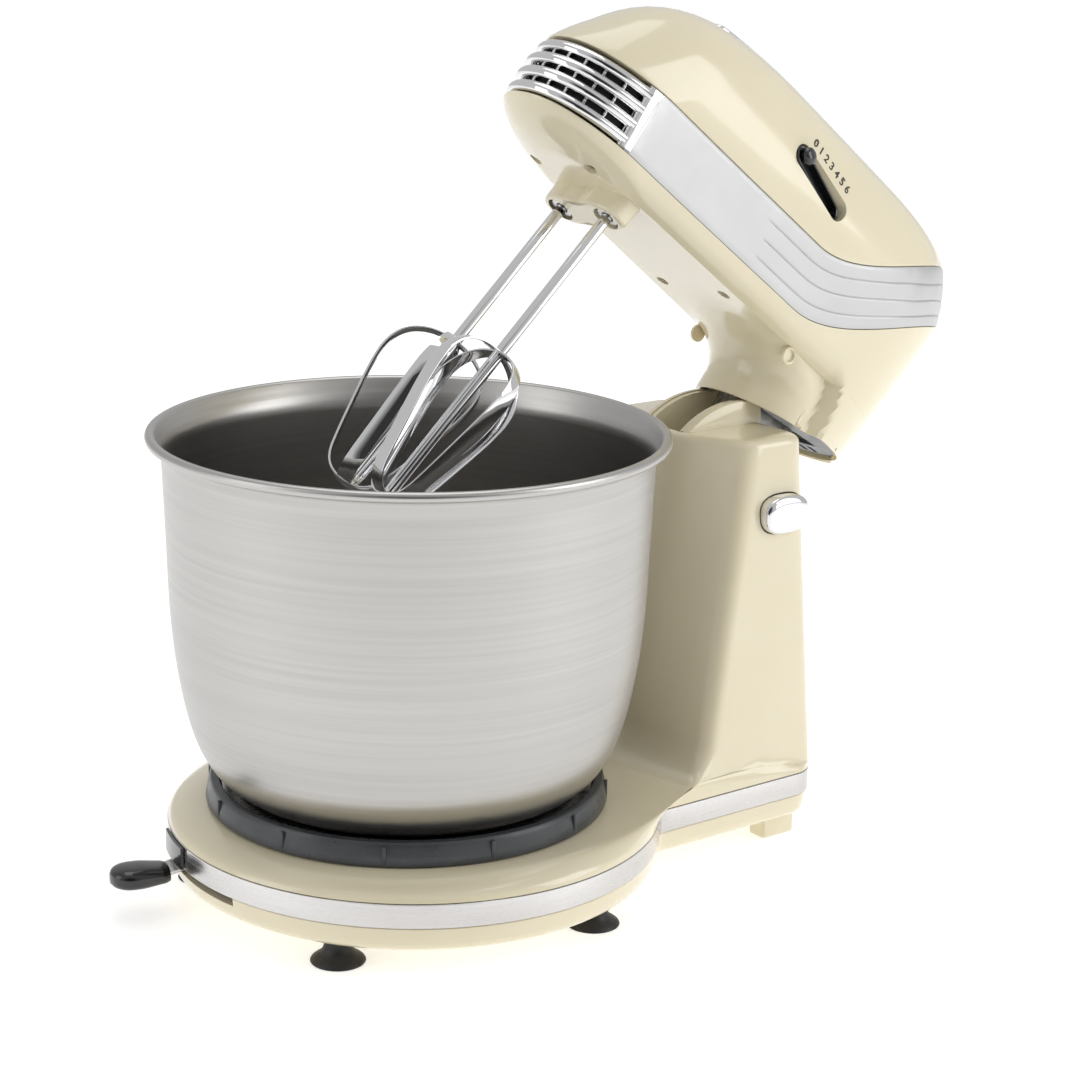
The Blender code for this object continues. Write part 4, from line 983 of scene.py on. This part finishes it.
def strip_loop(name, width, turn_deg, drop, place):
    """Flat strip bent along a smooth closed loop."""
    path = smoothed(LOOP, 56)
    path = path + [(-x, z) for x, z in path[-2::-1]]
    rows = []
    for t, w in ((-0.45, -1.0), (-0.45, 1.0), (0.45, 1.0), (0.45, -1.0)):
        row = []
        for k, (x, z) in enumerate(path):
            a, b = path[max(k - 1, 0)], path[min(k + 1, len(path) - 1)]
            dx, dz = b[0] - a[0], b[1] - a[1]
            size = math.hypot(dx, dz)
            half = width * (0.72 + 0.28 * ease((-z - 76.0) / 20.0)) / 2
            row.append((x + t * dz / size, w * half, z - t * dx / size - drop))
        rows.append(row)
    piece = strip(name, rows, place @ Matrix.Rotation(math.radians(turn_deg), 4, "Z"))
    edge = piece.modifiers.new("edge", "BEVEL")
    edge.width = 0.00016
    edge.segments = 2
    edge.limit_method = "ANGLE"
    apply_all(piece)
    smooth_by_angle(piece, 40)
    return piece


for name, side in (("right", -1), ("left", 1)):
    place = (HEAD_PLACE @ Matrix.Translation((SOCKET_X * 0.001, side * SOCKET_Y * 0.001, SOCKET_Z * 0.001))
             @ Matrix.Rotation(math.radians(LEAN), 4, "Y"))
    shaft_profile = ((0.8, 33.8), (2.3, 33.0), (2.5, 32.0), (2.5, -146.0), (2.1, -147.9), (1.0, -148.6))
    shaft = turned(f"beater_shaft_{name}", shaft_profile, place, 40)
    wear(shaft, f"beater_{name}", chrome, "chrome", f"beater_{name}")
    for i in range(2):
        turn = 90.0 * i + (45.0 if side > 0 else 0.0)
        loop = strip_loop(f"beater_strip_{name}_{i + 1}", STRIP_WIDTH, turn, 0.35 * i, place)
        wear(loop, f"beater_{name}", chrome, "chrome")


# ---- Neck plate, hinge and drive --------------------------------------------
# The slotted plate that closes the neck is dark nylon, and the cradle round the
# hinge is cream. Arm, pin, motor and spindles are steel, with brass bearings.
brass = new_look("turned_brass", 0.3, 1.0)
tone(brass, grain(brass, 80.0), (0.55, 0.38, 0.14), (0.66, 0.48, 0.20))
white = new_look("white_nylon_look", 0.45)
tone(white, grain(white, 70.0), (0.72, 0.72, 0.69), (0.82, 0.82, 0.79))
bump(white, grain(white, 900.0), 0.06, 0.0002)
board = new_look("circuit_green", 0.45)
tone(board, grain(board, 400.0), (0.03, 0.16, 0.06), (0.05, 0.24, 0.09))
refinish(nylon, "neck_plate")
refinish(cream, "hinge_cradle")
refinish(rubber, "cord_gland")
refinish(steel, "tilt_arm", "hinge_pin", "motor_can", "rotor", "motor_shaft", "worm", "spindle_right",
         "spindle_left", "locking_bar")
refinish(steel, *(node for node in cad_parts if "screw" in node))
refinish(brass, "front_bearing", "rear_bearing", "brush_holder_right", "brush_holder_left")
refinish(board, "control_board")
refinish(white, "cooling_fan", "gearbox_plate", "hinge_bush_right", "hinge_bush_left", "worm_wheel_right",
         "worm_wheel_left", "release_stem", "eject_rod")


# ---- Floor, light and camera ------------------------------------------------
# Plain white table, large soft boxes and a black flag that the camera does not see.
floor_mat = new_look("white_sweep", 0.55, 0.0, (0.88, 0.88, 0.88))
shader_of(floor_mat).inputs["Emission Color"].default_value = (1, 1, 1, 1)
shader_of(floor_mat).inputs["Emission Strength"].default_value = 0.50
bpy.ops.mesh.primitive_plane_add(size=60.0)
table = bpy.context.active_object
table.name = "white_table"
table.select_set(False)
table.data.materials.append(floor_mat)
flag_mat = new_look("black_flag_cloth", 0.9, 0.0, (0.02, 0.02, 0.02))
bpy.ops.mesh.primitive_plane_add(size=1.0)
flag = bpy.context.active_object
flag.name = "black_flag"
flag.select_set(False)
flag.data.materials.append(flag_mat)
flag.matrix_world = (Matrix.Translation((-0.86, -1.11, 0.62)) @ Matrix.Rotation(math.radians(-35.0), 4, "Z")
                     @ Matrix.Rotation(math.radians(90.0), 4, "X") @ Matrix.Diagonal((0.80, 1.2, 1.0, 1.0)))
flag.visible_camera = False


def soft_box(name, spot, target, size, power):
    """Rectangular lamp aimed at a point."""
    bpy.ops.object.light_add(type="AREA", location=spot)
    lamp = bpy.context.active_object
    lamp.name = name
    lamp.data.shape = "RECTANGLE"
    lamp.data.size, lamp.data.size_y = size
    lamp.data.energy = power
    lamp.rotation_euler = (Vector(target) - Vector(spot)).to_track_quat("-Z", "Y").to_euler()
    lamp.select_set(False)


CENTRE = (0.0, 0.0, 0.18)
soft_box("right_box", (1.05, -1.35, 0.85), CENTRE, (0.9, 1.3), 9.5)
soft_box("left_box", (-1.64, 0.43, 0.7), CENTRE, (0.8, 1.3), 4)
soft_box("top_box", (0.2, 0.3, 1.9), CENTRE, (1.4, 1.2), 7)
world = bpy.data.worlds.new("studio")
bpy.context.scene.world = world
world.use_nodes = True
background = world.node_tree.nodes["Background"]
background.inputs["Strength"].default_value = 0.60
where = world.node_tree.nodes.new("ShaderNodeTexCoord")
toward_front = world.node_tree.nodes.new("ShaderNodeVectorMath")
toward_front.operation = "DOT_PRODUCT"
toward_front.inputs[1].default_value = (-0.55, -0.80, 0.22)
room = world.node_tree.nodes.new("ShaderNodeValToRGB")
room.color_ramp.elements[0].position = 0.80
room.color_ramp.elements[0].color = (1.0, 1.0, 1.0, 1)
room.color_ramp.elements[1].position = 0.93
room.color_ramp.elements[1].color = (0.16, 0.16, 0.165, 1)
world.node_tree.links.new(where.outputs["Generated"], toward_front.inputs[0])
world.node_tree.links.new(toward_front.outputs["Value"], room.inputs["Fac"])
world.node_tree.links.new(room.outputs["Color"], background.inputs["Color"])

camera_data = bpy.data.cameras.new("camera")
camera = bpy.data.objects.new("camera", camera_data)
bpy.context.collection.objects.link(camera)
camera_data.sensor_width = 36.0
camera_data.lens = 86.646
camera_data.clip_end = 20.0
pitch, pan, roll, azimuth = 0.2681, 0.05096, 0.02147, math.radians(-35.0)
ahead = Vector((math.sin(pan) * math.cos(pitch), math.cos(pan) * math.cos(pitch), -math.sin(pitch)))
right = Vector((math.cos(pan), -math.sin(pan), 0))
above = right.cross(ahead)
right, above = (right * math.cos(roll) + above * math.sin(roll), above * math.cos(roll) - right * math.sin(roll))
turn = Matrix.Rotation(azimuth, 4, "Z")
spot = turn @ Vector((0, -1.01198, 0.4287))
aim = turn.to_3x3() @ Matrix((right, above, -ahead)).transposed()
camera.matrix_world = BASE_PLACE @ Matrix.Translation(spot) @ aim.to_4x4()
bpy.context.scene.camera = camera
bpy.context.scene.view_settings.view_transform = "Standard"

bpy.context.view_layer.update()
